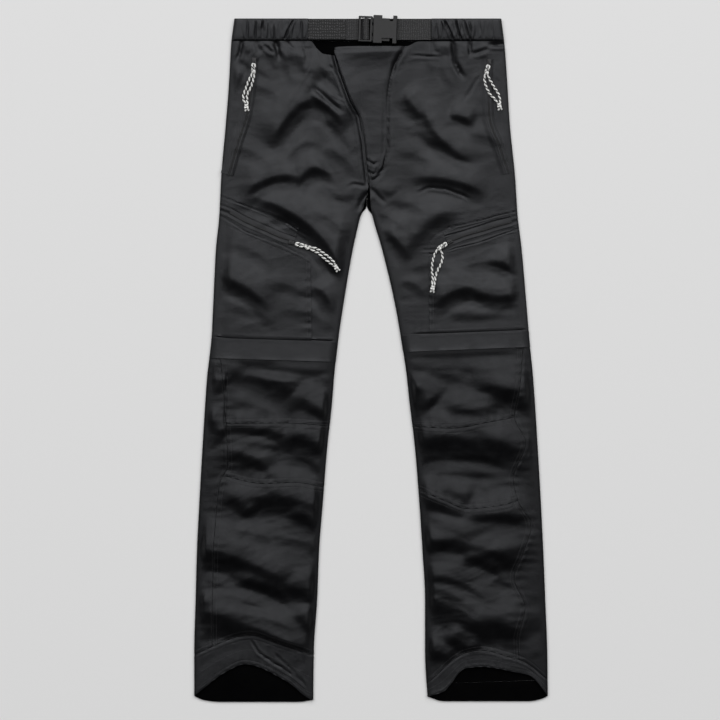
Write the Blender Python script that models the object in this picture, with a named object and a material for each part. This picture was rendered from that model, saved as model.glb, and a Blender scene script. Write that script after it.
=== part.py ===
"""Convertible zip-off trousers, laid flat with the front side up.

Tables are in millimetres. x runs to the left of the wearer, depth runs down from the top of the
waistband, and height is measured from the surface the trousers lie on. place() turns them into metres
with the origin under the middle of the garment, the waist towards +Y and the front towards +Z.
"""

import math

import bmesh
import bpy
from mathutils import Vector

MM = 0.001
WAIST_Y = 517.1            # from the middle of the length up to the top of the waistband

# Cloth and how it lies
WALL = 1.5                 # cloth wall
LAYERS = 6.0               # front and back together, where they lie on each other
HALF = LAYERS / 2
ROUND = 8.0                # width of the rounded fold at an outer edge
SQUARE = 3.0               # width kept for that fold where the edge is cut square
GAP = 0.3                  # between pieces at a seam
FLY_GAP = 2.0              # between the fronts along the open edge of the fly
HEM_WALL = 2.2             # turned hem, two layers
FADE = 24.0                # folds die out this far from an outer edge
ZIP_CALM = 25.0            # no fold this close to the middle of the zip-off line
ZIP_FADE = 20.0            # and full folds this much further away
BAND_FADE = 25.0           # folds die out this far below the waistband
FOLD_FLOOR = 11.0          # narrowest side of a fold that the panels' rows can carry
CROTCH = 290.0
BAND_BOTTOM = 34.0
SLOPE_STEP = 3.0           # for slopes of the cloth

# Grid of the panels
ANGLES = [0.0, math.radians(42), math.radians(90)]
UPPER_ROWS = 20
UPPER_COLUMNS = 9
LOWER_COLUMNS = 8
BACK_COLUMNS = 2
BACK_DEPTHS = [130, 220, 284, 302, 352, 425]
STRIP_COLUMNS = 1
HEM_ROWS = 2

# Outer edges of the legs: depth, x
RIGHT_OUTER = [(0, -208), (40, -213), (95, -216), (160, -221), (240, -228), (300, -231), (350, -236),
               (430, -240), (490, -243), (540, -249), (580, -252), (660, -257), (730, -261),
               (810, -265), (885, -267), (960, -269), (1039, -269)]
LEFT_OUTER = [(0, 198), (40, 203), (95, 207), (160, 211), (240, 219), (300, 223), (350, 229),
              (430, 236), (490, 241), (540, 246), (580, 249), (660, 254), (730, 258), (810, 262),
              (885, 265), (960, 268), (1039, 269)]
# Inner edges, from the crotch down: depth, x
RIGHT_INNER = [(256, -4), (290, -13), (300, -16), (352, -28), (428, -41), (489, -50), (542, -56),
               (580, -59), (656, -67), (732, -73), (808, -79), (884, -82), (960, -87), (1039, -88)]
LEFT_INNER = [(256, -2), (290, 0), (300, 2), (352, 17), (428, 35), (489, 46), (542, 54),
              (580, 58), (656, 67), (732, 73), (808, 78), (884, 82), (960, 82), (1039, 86)]
# Opening edge of the fly: depth, x
FLY_EDGE = [(34, -60), (81, -47), (125, -31), (150, -17), (188, -11), (218, -8), (256, -3)]
# Seam between the two backs: depth, x
SEAT_SEAM = [(34, -3), (200, -4), (290, -7)]

# Top edge of each front, under the waistband: x, depth
RIGHT_TOP = [(-215, 34.3), (-92, 34.3), (-82, 46), (-72, 54), (-48, 57)]
LEFT_TOP = [(-62, 46), (-48, 43), (-20, 42), (54, 42), (72, 35), (205, 34.3)]
# Zip-off line and the storm flap over it: x, depth
ZIP_TAPE = 12.0
RIGHT_ZIP = [(-245, 499), (-50, 505)]
LEFT_ZIP = [(45, 488), (243, 480)]
RIGHT_FLAP = [(-245, 486), (-50, 492)]
LEFT_FLAP = [(45, 482), (243, 474)]
RIGHT_FLAP_DEEP = 30.0
LEFT_FLAP_DEEP = 25.0
# Seams of the lower legs: depth, x and then x, depth
RIGHT_OUTSEAM = [(505, -230), (560, -225), (613, -221), (679, -218), (706, -230), (760, -236),
                 (823, -240), (960, -242), (1039, -242)]
LEFT_OUTSEAM = [(488, 232), (560, 226), (606, 218), (645, 235), (700, 216), (730, 222), (773, 243),
                (815, 230), (850, 217), (896, 234), (945, 223), (1039, 233)]
RIGHT_KNEE_TOP = [(-225, 616), (-129, 615), (-70, 619)]
RIGHT_KNEE_LOW = [(-230, 694), (-163, 707), (-116, 705), (-73, 712)]
LEFT_KNEE_TOP = [(62, 620), (125, 623), (172, 615), (218, 606)]
LEFT_KNEE_LOW = [(74, 717), (109, 732), (146, 745), (202, 739), (231, 731), (245, 735)]
# Upper line of each hem on the front, and the front's lower edge: x, depth
RIGHT_HEM_TOP = [(-269, 968), (-208, 942), (-184, 937), (-143, 949), (-88, 968)]
RIGHT_HEM_EDGE = [(-269, 1030), (-218, 992), (-192, 982), (-128, 1008), (-96, 1033), (-88, 1036)]
LEFT_HEM_TOP = [(84.5, 1012), (144, 965), (167, 961), (210, 971), (232, 978), (269, 1006)]
LEFT_HEM_EDGE = [(86, 1031), (109, 1024), (144, 988), (169, 986), (219, 994), (241, 999), (269, 1030)]
# Upper line of each hem underneath: x, depth
RIGHT_HEM_UNDER = [(-269, 968), (-88, 968)]
LEFT_HEM_UNDER = [(84.5, 1012), (269, 1006)]
# Lower edge of the backs: x, depth
RIGHT_BACK_EDGE = [(-269, 1030), (-256, 1036), (-230, 1039), (-110, 1039), (-88, 1036)]
LEFT_BACK_EDGE = [(86, 1031), (110, 1038), (240, 1038), (258, 1035), (269, 1030)]

# Folds on the front: start x, start depth, end x, end depth, bow, height, soft side, steep side.
# The steep side lies to the hem of a fold that runs towards +x.
FOLDS = [
    (-150, 185, -88, 118, -10, 6.0, 30, 12),
    (-92, 116, -40, 158, -6, 6.0, 30, 12),
    (-84, 62, -34, 140, -8, 4.0, 26, 12),
    (-122, 148, -84, 60, 4, 4.5, 24, 18),
    (-190, 262, -108, 240, -12, 5.5, 26, 13),
    (-112, 250, -68, 230, -14, 5.0, 22, 12),
    (-160, 274, -30, 408, -22, 8.0, 36, 14),
    (-240, 386, -158, 430, -6, 5.5, 34, 12),
    (-84, 406, -54, 446, -6, 4.0, 24, 11),
    (-200, 518, -116, 564, -6, 5.5, 26, 14),
    (-118, 572, -62, 606, -8, 5.0, 26, 13),
    (-216, 618, -124, 632, -4, 4.5, 22, 11),
    (-128, 628, -68, 654, -10, 6.5, 26, 16),
    (-222, 654, -150, 684, -8, 5.0, 26, 12),
    (-164, 690, -126, 708, -4, 3.5, 20, 10),
    (-220, 718, -178, 750, -4, 5.0, 24, 13),
    (-198, 728, -72, 744, -12, 6.5, 30, 13),
    (-120, 746, -76, 770, -6, 5.0, 22, 12),
    (-264, 802, -128, 852, -8, 8.5, 42, 15),
    (-204, 852, -128, 870, -6, 5.0, 24, 12),
    (-134, 860, -80, 884, -6, 4.5, 22, 12),
    (-262, 878, -232, 914, -4, 4.5, 22, 12),
    (-254, 898, -104, 962, -8, 8.5, 36, 15),
    (-116, 902, -84, 934, -4, 4.5, 22, 12),
    (-250, 536, -226, 560, -3, 3.0, 18, 10),
    (-252, 600, -222, 632, -3, 4.0, 20, 11),
    (80, 130, 152, 214, 12, 5.5, 24, 13),
    (54, 112, 84, 148, 4, 4.0, 22, 11),
    (120, 145, 154, 156, -3, 4.0, 20, 10),
    (74, 240, 166, 258, -5, 5.0, 28, 12),
    (16, 322, 58, 358, -6, 4.5, 22, 12),
    (122, 288, 56, 344, 10, 5.5, 16, 26),
    (186, 364, 236, 398, -6, 5.0, 26, 12),
    (98, 430, 160, 408, -8, 5.5, 30, 13),
    (150, 408, 228, 414, 8, 5.0, 30, 12),
    (62, 552, 92, 588, -6, 5.0, 22, 13),
    (158, 548, 244, 586, -10, 6.5, 30, 14),
    (112, 588, 188, 608, -6, 5.0, 24, 12),
    (70, 636, 232, 652, -12, 9.0, 34, 17),
    (100, 714, 152, 732, -5, 4.5, 22, 12),
    (76, 718, 146, 752, 3, 5.5, 24, 12),
    (144, 756, 230, 750, -5, 6.0, 26, 13),
    (78, 788, 222, 822, -10, 7.0, 36, 15),
    (140, 814, 196, 834, -5, 4.5, 22, 12),
    (82, 840, 184, 886, -10, 6.5, 30, 13),
    (82, 876, 180, 928, -8, 8.0, 36, 16),
    (144, 912, 230, 930, -6, 5.5, 26, 13),
    (114, 938, 160, 962, -5, 5.0, 22, 12),
    (82, 956, 124, 974, -4, 4.0, 20, 11),
]

# Pieces that lie on a front. Lines and outlines are x, depth
TAPE_THICK = 1.2
FLAP_THICK = 1.5
TRIM_LOW = -5.0
TRIM_HIGH = 40.0
HAND_ZIP_WIDE = 9.0
RIGHT_HAND_ZIP = [(-178, 60), (-181, 100), (-187, 141), (-202, 190), (-216, 238)]
LEFT_HAND_ZIP = [(179, 62), (178, 100), (180, 150), (194, 192), (209, 235)]
THIGH_ZIP_WIDE = 13.0
RIGHT_THIGH_ZIP = [(-215, 295), (-190, 309), (-160, 322), (-140, 331), (-117, 339)]
LEFT_THIGH_ZIP = [(116, 340), (141, 330), (172, 321), (187, 316), (213, 309)]
RIGHT_WELT_WIDE = 15.0
LEFT_WELT_WIDE = 9.0
RIGHT_BAG = [(-221, 307), (-188, 323), (-158, 336), (-122, 351), (-92, 366), (-90, 488), (-228, 484)]
LEFT_BAG = [(88, 355), (110, 352), (128, 346), (158, 338), (176, 332), (204, 323), (217, 320),
            (230, 472), (88, 478)]
FLY_FLAP = [(-56, 48), (-42, 87), (-27, 127), (-13, 154), (-7, 188), (-4, 218), (1, 246), (13, 238),
            (21, 218), (23, 150), (26, 110), (31, 86), (48, 44)]
UNDERLAP = [(-68, 66), (-54, 90), (-40, 128), (-28, 156), (-24, 250), (20, 250), (30, 200), (34, 110),
            (38, 66)]
UNDERLAP_LOW = 3.0
UNDERLAP_THICK = 1.2

# Waistband casing
BAND_WALL = 2.6
BAND_HALF = 4.0
BAND_CROWN = 1.3
BAND_RIGHT_END = -96.0
BAND_LEFT_END = 92.0
BAND_COLUMNS = 14
BAND_BACK_COLUMNS = 10
GATHER_HEIGHT = 1.6
GATHER_TURN = 1.7
# Rows of the casing, as a part of its depth, and how far each reaches of its crown
BAND_ROWS = [(0.0, 0.0), (0.16, 0.8), (0.5, 1.0), (0.84, 0.8), (1.0, 0.0)]

# Belt: webbing, elastic and side-release buckle
WEB_TOP = 0.2
WEB_DEEP = 32.0
WEB_THICK = 1.7
WEB_MIDDLE = 4.05
WEB_RIGHT = [(-95.4, 4.05), (-20, 4.05), (-14.8, 4.2), (-12.8, 6), (-12, 8.6), (-10, 10.1),
             (-5.5, 10.1), (-3.8, 8.6), (-3.2, 5.6)]
WEB_LEFT = [(36.5, 4.05), (91.4, 4.05)]
ELASTIC = [(-95.4, 6.3), (-38.3, 6.3)]
ELASTIC_TOP = 1.5
ELASTIC_DEEP = 29.5
ELASTIC_THICK = 2.0
BUCKLE_CENTRE = (-8.0, 16.2)
BUCKLE_TILT = math.radians(-2.0)
FRAME_X = (-19.5, 2.0)
FRAME_DEEP = 39.4
FRAME_BAR = 2.6
FRAME_SLOT_X = (-16.2, -1.3)
MIDDLE_BAR_X = (-10.3, -5.5)
MIDDLE_BAR_THICK = 2.9
FRAME_LOW = 5.4
FRAME_THICK = 4.8
TONGUE_REACH = 28.0
TONGUE_WIDE = 11.0
PRONG_WIDE = 6.5
PRONG_OUT = 17.2
TONGUE_LOW = 6.0
TONGUE_THICK = 3.6
SOCKET_X = (2.8, 39.4)
SOCKET_DEEP = 43.0
SOCKET_LOW = 3.4
SOCKET_THICK = 9.2
SOCKET_WALL = 1.8
SOCKET_CAVITY_END = 30.5
NOTCH_X = (16.5, 33.0)
NOTCH_DEEP = 8.5
COLLAR_FROM = 34.0
COLLAR_LOW = 5.4
SOFT_EDGE = 1.0

# Zip sliders: x, depth and heading from straight down, in degrees
SLIDER_LONG = 9.0
SLIDER_WIDE = 6.5
SLIDER_THICK = 2.2
SLIDER_CLEAR = 0.5
SLIDER_SOFT = 0.6
CROWN_LONG = 5.0
CROWN_WIDE = 2.4
CROWN_HIGH = 2.6
CROWN_SOFT = 0.5
CROWN_WALL = 1.1

# Cord pulls. The head is the loop and knot at the slider, and the knot closes both strands. Both are
# given by x, depth, rise over the cloth and heading; a strand is x, depth, rise, from inside the head
# to inside the knot, and is trimmed where it meets them
CORD = 2.5
CORD_SIDES = 2
STRAND_POINTS = 9
ROUTE_STEPS = 16
TRIM = 0.5
KNOT_HALF = (5.0, 3.8, 3.0)
HEAD_HALF_WIDE = 4.2
HEAD_HALF_HIGH = 2.8
PULLS = {
    "hand_right": {
        "slider": (-177.5, 64, 0),
        "head": (-178.5, 76.6, 5.0, 0),
        "head_half": 7.5,
        "a": [(-180.3, 82, 4.8), (-182.5, 88, 4.0), (-186, 95, 3.6), (-190, 106, 3.5),
              (-194, 117, 3.4), (-193.5, 124, 3.4), (-190.3, 131.8, 4.8)],
        "b": [(-176.9, 82, 4.8), (-178, 89, 4.0), (-180, 97, 3.6), (-183, 106, 3.5),
              (-187.5, 114, 3.4), (-188.5, 122, 3.4), (-187, 131.8, 4.8)],
        "knot": (-189, 135.5, 5.2, 5),
    },
    "hand_left": {
        "slider": (179.5, 66, 0),
        "head": (176.5, 78.8, 5.0, -12),
        "head_half": 7.5,
        "a": [(173.2, 84, 4.8), (172, 91, 4.0), (173, 98, 3.6), (176, 107, 3.5), (181, 116, 3.4),
              (187, 122, 3.4), (193.3, 130.6, 4.8)],
        "b": [(176.6, 84.5, 4.8), (179, 91, 4.0), (183, 98, 3.6), (187, 105, 3.5), (191, 111, 3.4),
              (194.5, 118, 3.4), (196.6, 130.6, 4.8)],
        "knot": (195, 134, 5.2, 10),
    },
    "thigh_right": {
        "slider": (-121, 340, 72),
        "head": (-102.5, 346, 5.4, 74),
        "head_half": 13.0,
        "a": [(-92, 347.4, 5.0), (-84, 349.5, 3.8), (-79, 352, 2.6), (-72, 357, 2.3),
              (-64, 363, 2.3), (-57, 370, 2.5), (-53.4, 376, 3.4)],
        "b": [(-92.5, 350.9, 5.0), (-85, 354.5, 3.8), (-80, 357, 2.6), (-75, 361.5, 2.3),
              (-68, 367.5, 2.3), (-61, 373, 2.5), (-56, 377.2, 3.4)],
        "knot": (-52.5, 379.5, 3.8, 30),
    },
    "thigh_left": {
        "slider": (119.5, 339, -62),
        "head": (108, 346.5, 5.4, -56),
        "head_half": 8.0,
        "a": [(102.8, 349.2, 5.0), (98.5, 354.5, 4.4), (95.3, 362, 4.2), (93, 372, 4.2),
              (92.4, 384, 4.2), (93.5, 394, 4.2), (92.2, 407.5, 6.0)],
        "b": [(105.4, 351.5, 5.0), (107.5, 357.5, 4.4), (108.5, 364, 4.2), (106, 373, 4.2),
              (101, 383, 4.2), (97.8, 393, 4.2), (95.8, 407.5, 6.0)],
        "knot": (93.5, 411, 6.1, -10),
    },
}


def place(x, depth, height):
    """A point of the tables as a point in metres."""
    return Vector((x * MM, (WAIST_Y - depth) * MM, height * MM))


def mix(a, b, part):
    return a + (b - a) * part


def ease(part):
    """0 below 0, 1 above 1, smooth between."""
    part = min(max(part, 0.0), 1.0)
    return part * part * (3 - 2 * part)


def through(table, at):
    """Smooth curve through a two-column table that never overshoots its rows."""
    if at <= table[0][0]:
        return table[0][1]
    if at >= table[-1][0]:
        return table[-1][1]
    slopes = [(b[1] - a[1]) / (b[0] - a[0]) for a, b in zip(table, table[1:])]
    tangents = [slopes[0]]
    for before, after in zip(slopes, slopes[1:]):
        turn = before * after
        tangents.append(2 * turn / (before + after) if turn > 0 else 0.0)
    tangents.append(slopes[-1])
    row = max(i for i in range(len(table) - 1) if table[i][0] <= at)
    (x0, y0), (x1, y1) = table[row], table[row + 1]
    span = x1 - x0
    t = (at - x0) / span
    return (y0 * (2 * t ** 3 - 3 * t ** 2 + 1) + tangents[row] * span * (t ** 3 - 2 * t ** 2 + t)
            + y1 * (3 * t ** 2 - 2 * t ** 3) + tangents[row + 1] * span * (t ** 3 - t ** 2))


def fold_height(x, depth):
    """Height of the folds over the flat cloth, as a soft maximum of all folds."""
    total = 0.0
    for x0, d0, x1, d1, bow, height, soft, steep in FOLDS:
        run = Vector((x1 - x0, d1 - d0))
        at = Vector((x - x0, depth - d0))
        along = at.dot(run) / run.length_squared
        if not -0.2 < along < 1.2:
            continue
        across = (run.x * at.y - run.y * at.x) / run.length
        across -= bow * 4 * along * (1 - along)
        side = max(steep if across > 0 else soft, FOLD_FLOOR)
        if abs(across) > 3 * side:
            continue
        ends = ease((along + 0.2) / 0.45) * ease((1.2 - along) / 0.45)
        total += (height * ends * math.exp(-(across / side) ** 2)) ** 3
    return total ** (1 / 3)


class Leg:
    """One side of the trousers: its edges, and its folds where they may stand."""

    def __init__(self, outer, inner, zip_top):
        self.outer = outer
        self.inner = inner
        self.zip_top = zip_top

    def calm(self, x, depth):
        """1 where folds may stand, falling to 0 at edges and along the zip-off line."""
        edge = abs(x - through(self.outer, depth))
        part = ease((edge - ROUND / 2) / FADE)
        if depth > CROTCH - FADE:
            inside = abs(x - through(self.inner, depth))
            part *= mix(1.0, ease((inside - ROUND / 2) / FADE), ease((depth - CROTCH + FADE) / FADE))
        off = abs(depth - (through(self.zip_top, x) + ZIP_TAPE / 2))
        part *= ease((off - ZIP_CALM) / ZIP_FADE)
        part *= ease((depth - BAND_BOTTOM) / BAND_FADE)
        return part

    def height(self, x, depth):
        part = self.calm(x, depth)
        return LAYERS + (fold_height(x, depth) * part if part > 0 else 0.0)

    def normal(self, x, depth):
        along_x = self.height(x + SLOPE_STEP, depth) - self.height(x - SLOPE_STEP, depth)
        along_depth = self.height(x, depth + SLOPE_STEP) - self.height(x, depth - SLOPE_STEP)
        return Vector((-along_x, -along_depth, 2 * SLOPE_STEP)).normalized()

    def cloth(self, x, depth, lift):
        """A point over (x, depth), moved along the cloth's normal by lift."""
        here = Vector((x, depth, self.height(x, depth)))
        return here + self.normal(x, depth) * lift


RIGHT = Leg(RIGHT_OUTER, RIGHT_INNER, RIGHT_ZIP)
LEFT = Leg(LEFT_OUTER, LEFT_INNER, LEFT_ZIP)


def rim_point(edge, side, angle, inset, facing, half=HALF):
    """A point of a rounded outer edge, inset from the cloth's outside. The cloth lies to side of the
    edge, facing is +1 on top and -1 underneath, and the height is from the middle of the layers."""
    across = ROUND - (ROUND - inset) * math.cos(angle)
    rise = (half - inset) * math.sin(angle) + GAP / 2 * (1 - math.sin(angle))
    return Vector((edge + side * across, 0, half + facing * rise))


def meet(line, top, bottom, part):
    """The place on a side line at a part of the way from the top line to the bottom line."""
    depth = mix(top[0][1], bottom[0][1], part)
    for _ in range(6):
        x = line(depth)
        depth = mix(through(top, x), through(bottom, x), part)
    return line(depth), depth


def shifted(table, by):
    """A line of x, depth moved down by a distance."""
    return [(x, depth + by) for x, depth in table]


def stations(sides, columns, top, bottom, part, angles):
    """Places across one row of a panel: x, angle on a rounded edge, its roundness, side and edge.
    A side is a line and its roundness by depth, or None for a side that is never folded."""
    ends = []
    for side, (line, roundness) in zip((1, -1), sides):
        x, depth = meet(line, top, bottom, part)
        if roundness is None:
            ends.append([(x, None, 0, side, x)])
            continue
        share = roundness(depth)
        width = mix(SQUARE, ROUND, share)
        ends.append([(x + side * width * (1 - math.cos(angle)), angle, share, side, x)
                     for angle in angles])
    first, last = ends[0][-1][0], ends[1][-1][0]
    middle = [(mix(first, last, i / columns), None, 0, 1, 0) for i in range(1, columns)]
    return ends[0] + middle + ends[1][::-1]


def over_pair(leg, at, row_depth, lift, wall):
    """Outside and inside of the front cloth at one station of a row."""
    x, angle, share, side, edge = at
    depth = row_depth(x)
    pair = [leg.cloth(x, depth, lift), leg.cloth(x, depth, lift - wall)]
    if share > 0:
        raised = leg.height(x, depth) - LAYERS
        for i, inset in enumerate((-lift, wall - lift)):
            rim = rim_point(edge, side, angle, inset, 1)
            pair[i] = pair[i].lerp(Vector((rim.x, row_depth(rim.x), rim.z + raised)), share)
    return tuple(place(*point) for point in pair)


def under_pair(at, row_depth, wall):
    """Outside and inside of the back cloth at one station of a row, lying flat underneath."""
    x, angle, share, side, edge = at
    depth = row_depth(x)
    pair = [Vector((x, depth, 0)), Vector((x, depth, wall))]
    if share > 0:
        for i, inset in enumerate((0, wall)):
            rim = rim_point(edge, side, angle, inset, -1)
            pair[i] = pair[i].lerp(Vector((rim.x, row_depth(rim.x), rim.z)), share)
    return tuple(place(*point) for point in pair)


def row_of(top, bottom, part):
    """Depth along a row, as a function of x."""
    return lambda x: mix(through(top, x), through(bottom, x), part)


def front_rows(leg, top, bottom, sides, parts, columns, lift=0.0, wall=WALL, angles=ANGLES):
    """Rows of (outside, inside) pairs of a front panel."""
    return [[over_pair(leg, at, row_of(top, bottom, part), lift, wall)
             for at in stations(sides, columns, top, bottom, part, angles)] for part in parts]


def back_rows(top, bottom, sides, parts, columns, wall=WALL, angles=ANGLES):
    """Rows of (outside, inside) pairs of a back panel."""
    return [[under_pair(at, row_of(top, bottom, part), wall)
             for at in stations(sides, columns, top, bottom, part, angles)] for part in parts]


def even(count):
    return [i / count for i in range(count + 1)]


def close(name, rows, group, ring=False):
    """One closed solid from rows of (outside, inside) pairs. A ring joins its last column to its
    first."""
    mesh = bmesh.new()
    columns = len(rows[0])
    over = [[mesh.verts.new(pair[0]) for pair in row] for row in rows]
    under = [[mesh.verts.new(pair[1]) for pair in row] for row in rows]

    def quad(a, b, c, d):
        mesh.faces.new((a, b, c))
        mesh.faces.new((a, c, d))

    steps = [(j, (j + 1) % columns) for j in range(columns if ring else columns - 1)]
    for i in range(len(rows) - 1):
        for j, k in steps:
            quad(over[i][j], over[i + 1][j], over[i + 1][k], over[i][k])
            quad(under[i][j], under[i][k], under[i + 1][k], under[i + 1][j])
    for j, k in steps:
        quad(over[0][j], over[0][k], under[0][k], under[0][j])
        quad(over[-1][j], under[-1][j], under[-1][k], over[-1][k])
    if not ring:
        for i in range(len(rows) - 1):
            quad(over[i][0], under[i][0], under[i + 1][0], over[i + 1][0])
            quad(over[i][-1], over[i + 1][-1], under[i + 1][-1], under[i][-1])
    return finish(name, mesh, group)


def finish(name, mesh, group):
    """Turn a closed edit mesh, faced outwards, into a named object of a group."""
    bmesh.ops.recalc_face_normals(mesh, faces=mesh.faces)
    if mesh.calc_volume(signed=True) < 0:
        bmesh.ops.reverse_faces(mesh, faces=mesh.faces)
    data = bpy.data.meshes.new(name)
    mesh.to_mesh(data)
    mesh.free()
    piece = bpy.data.objects.new(name, data)
    group.objects.link(piece)
    data.shade_smooth()
    data.set_sharp_from_angle(angle=math.radians(40))
    return piece


def clad(piece, material):
    piece.data.materials.append(material)
    return piece


def prism(name, outline, low, high, group):
    """A flat outline in x, depth raised from low to high."""
    mesh = bmesh.new()
    base = [mesh.verts.new(place(x, depth, low)) for x, depth in outline]
    face = mesh.faces.new(base)
    top = bmesh.ops.extrude_face_region(mesh, geom=[face])["geom"]
    for vert in (v for v in top if isinstance(v, bmesh.types.BMVert)):
        vert.co.z = high * MM
    return finish(name, mesh, group)


def cut(piece, cutter, operation="DIFFERENCE"):
    """Cut a piece with a guide solid, or keep what lies in it."""
    cutter.hide_render = True
    cutter.display_type = "WIRE"
    step = piece.modifiers.new(cutter.name, "BOOLEAN")
    step.operation = operation
    step.solver = "EXACT"
    step.object = cutter


def beside(line, off):
    """A line of x, depth moved sideways, down for a line that runs towards +x."""
    moved = []
    for i, point in enumerate(line):
        before, after = line[max(i - 1, 0)], line[min(i + 1, len(line) - 1)]
        run = Vector((after[0] - before[0], after[1] - before[1])).normalized()
        moved.append((point[0] - run.y * off, point[1] + run.x * off))
    return moved


def band_outline(line, low, high):
    """The outline between two lines beside a line."""
    return beside(line, low) + beside(line, high)[::-1]


class Side:
    """The tables of one leg, and the lines between its pieces."""

    def __init__(self, word, leg, tables):
        self.word = word
        self.leg = leg
        for key, table in tables.items():
            setattr(self, key, table)


def from_table(table, by=0.0):
    return lambda depth: through(table, depth) + by


def folded(depth):
    """The edge is the fold of the cloth all the way."""
    return 1.0


def folded_below_crotch(depth):
    return ease((depth - CROTCH + 5) / 20)


def rows_between(leg_line, top, bottom, lines):
    """Parts of the way from top to bottom: both ends, and rows that cross a side line at depths."""
    parts = [0.0]
    for depth in lines:
        x = leg_line(depth)
        start, end = through(top, x), through(bottom, x)
        parts.append((depth - start) / (end - start))
    return parts + [1.0]


def inside_line(fly, inner, by):
    """The inner side of a front: the fly's edge down to the crotch, then the inner edge."""
    crotch = inner[0][0]
    return lambda depth: (through(fly, depth) + by) if depth < crotch else through(inner, depth)


def seat_line(inner, by):
    """The inner side of a back: the seat seam down to the crotch, then the inner edge."""
    start, end = CROTCH - 4, CROTCH + 10

    def line(depth):
        below = ease((depth - start) / (end - start))
        return mix(through(SEAT_SEAM, depth) + by, through(inner, max(depth, end)), below)
    return line


def upper_leg(side, group, guides, cloth):
    """Front and back of one upper leg, with the pieces that lie on the front."""
    leg = side.leg
    lower = shifted(side.zip_line, -GAP / 2)
    front_sides = (side.west_front, side.east_front)
    front = dict(leg=leg, top=side.top, bottom=lower, sides=front_sides, parts=even(UPPER_ROWS),
                 columns=UPPER_COLUMNS)
    clad(close("front_" + side.word, front_rows(**front), group), cloth)
    back_top = [(-300, BAND_BOTTOM + GAP), (300, BAND_BOTTOM + GAP)]
    parts = rows_between(side.outer_line, back_top, lower, BACK_DEPTHS)
    back = back_rows(back_top, lower, (side.west_back, side.east_back), parts, BACK_COLUMNS)
    clad(close("back_" + side.word, back, group), cloth)
    return front


def lay_on(name, front, outline, thick, group, guides, material):
    """A flat piece on a front panel: the panel's own points moved out, trimmed to an outline."""
    piece = close(name, front_rows(**front, lift=GAP + thick, wall=thick), group)
    trim = prism(name + "_trim", outline, TRIM_LOW, TRIM_HIGH, guides)
    cut(piece, trim, "INTERSECT")
    return clad(piece, material)


def pockets(side, front, group, guides, cloth, tape):
    thigh = side.thigh_zip
    half = THIGH_ZIP_WIDE / 2
    lay_on("hand_zip_" + side.word, front,
           band_outline(side.hand_zip, -HAND_ZIP_WIDE / 2, HAND_ZIP_WIDE / 2), TAPE_THICK, group,
           guides, tape)
    lay_on("thigh_zip_" + side.word, front, band_outline(thigh, -half, half), TAPE_THICK, group,
           guides, tape)
    lay_on("thigh_welt_" + side.word, front,
           band_outline(thigh, -half - GAP - side.welt_wide, -half - GAP), FLAP_THICK, group, guides,
           cloth)
    lay_on("thigh_pocket_" + side.word, front, side.bag, FLAP_THICK, group, guides, cloth)


def ring_rows(leg, top, bottom, under_top, under_bottom, sides, wall, count, columns):
    """Rows of a closed ring round a flat leg. The two middle angles of the edges are shared."""
    rows = []
    for part in even(count):
        over = front_rows(leg, top, bottom, sides, [part], columns, wall=wall)[0]
        under = back_rows(under_top, under_bottom, sides, [part], BACK_COLUMNS, wall=wall)[0]
        for end in (0, -1):
            outside, inside = over[end]
            over[end] = (Vector((outside.x, outside.y, HALF * MM)), Vector((inside.x, inside.y, HALF * MM)))
        rows.append(over + under[1:-1][::-1])
    return rows


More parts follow.
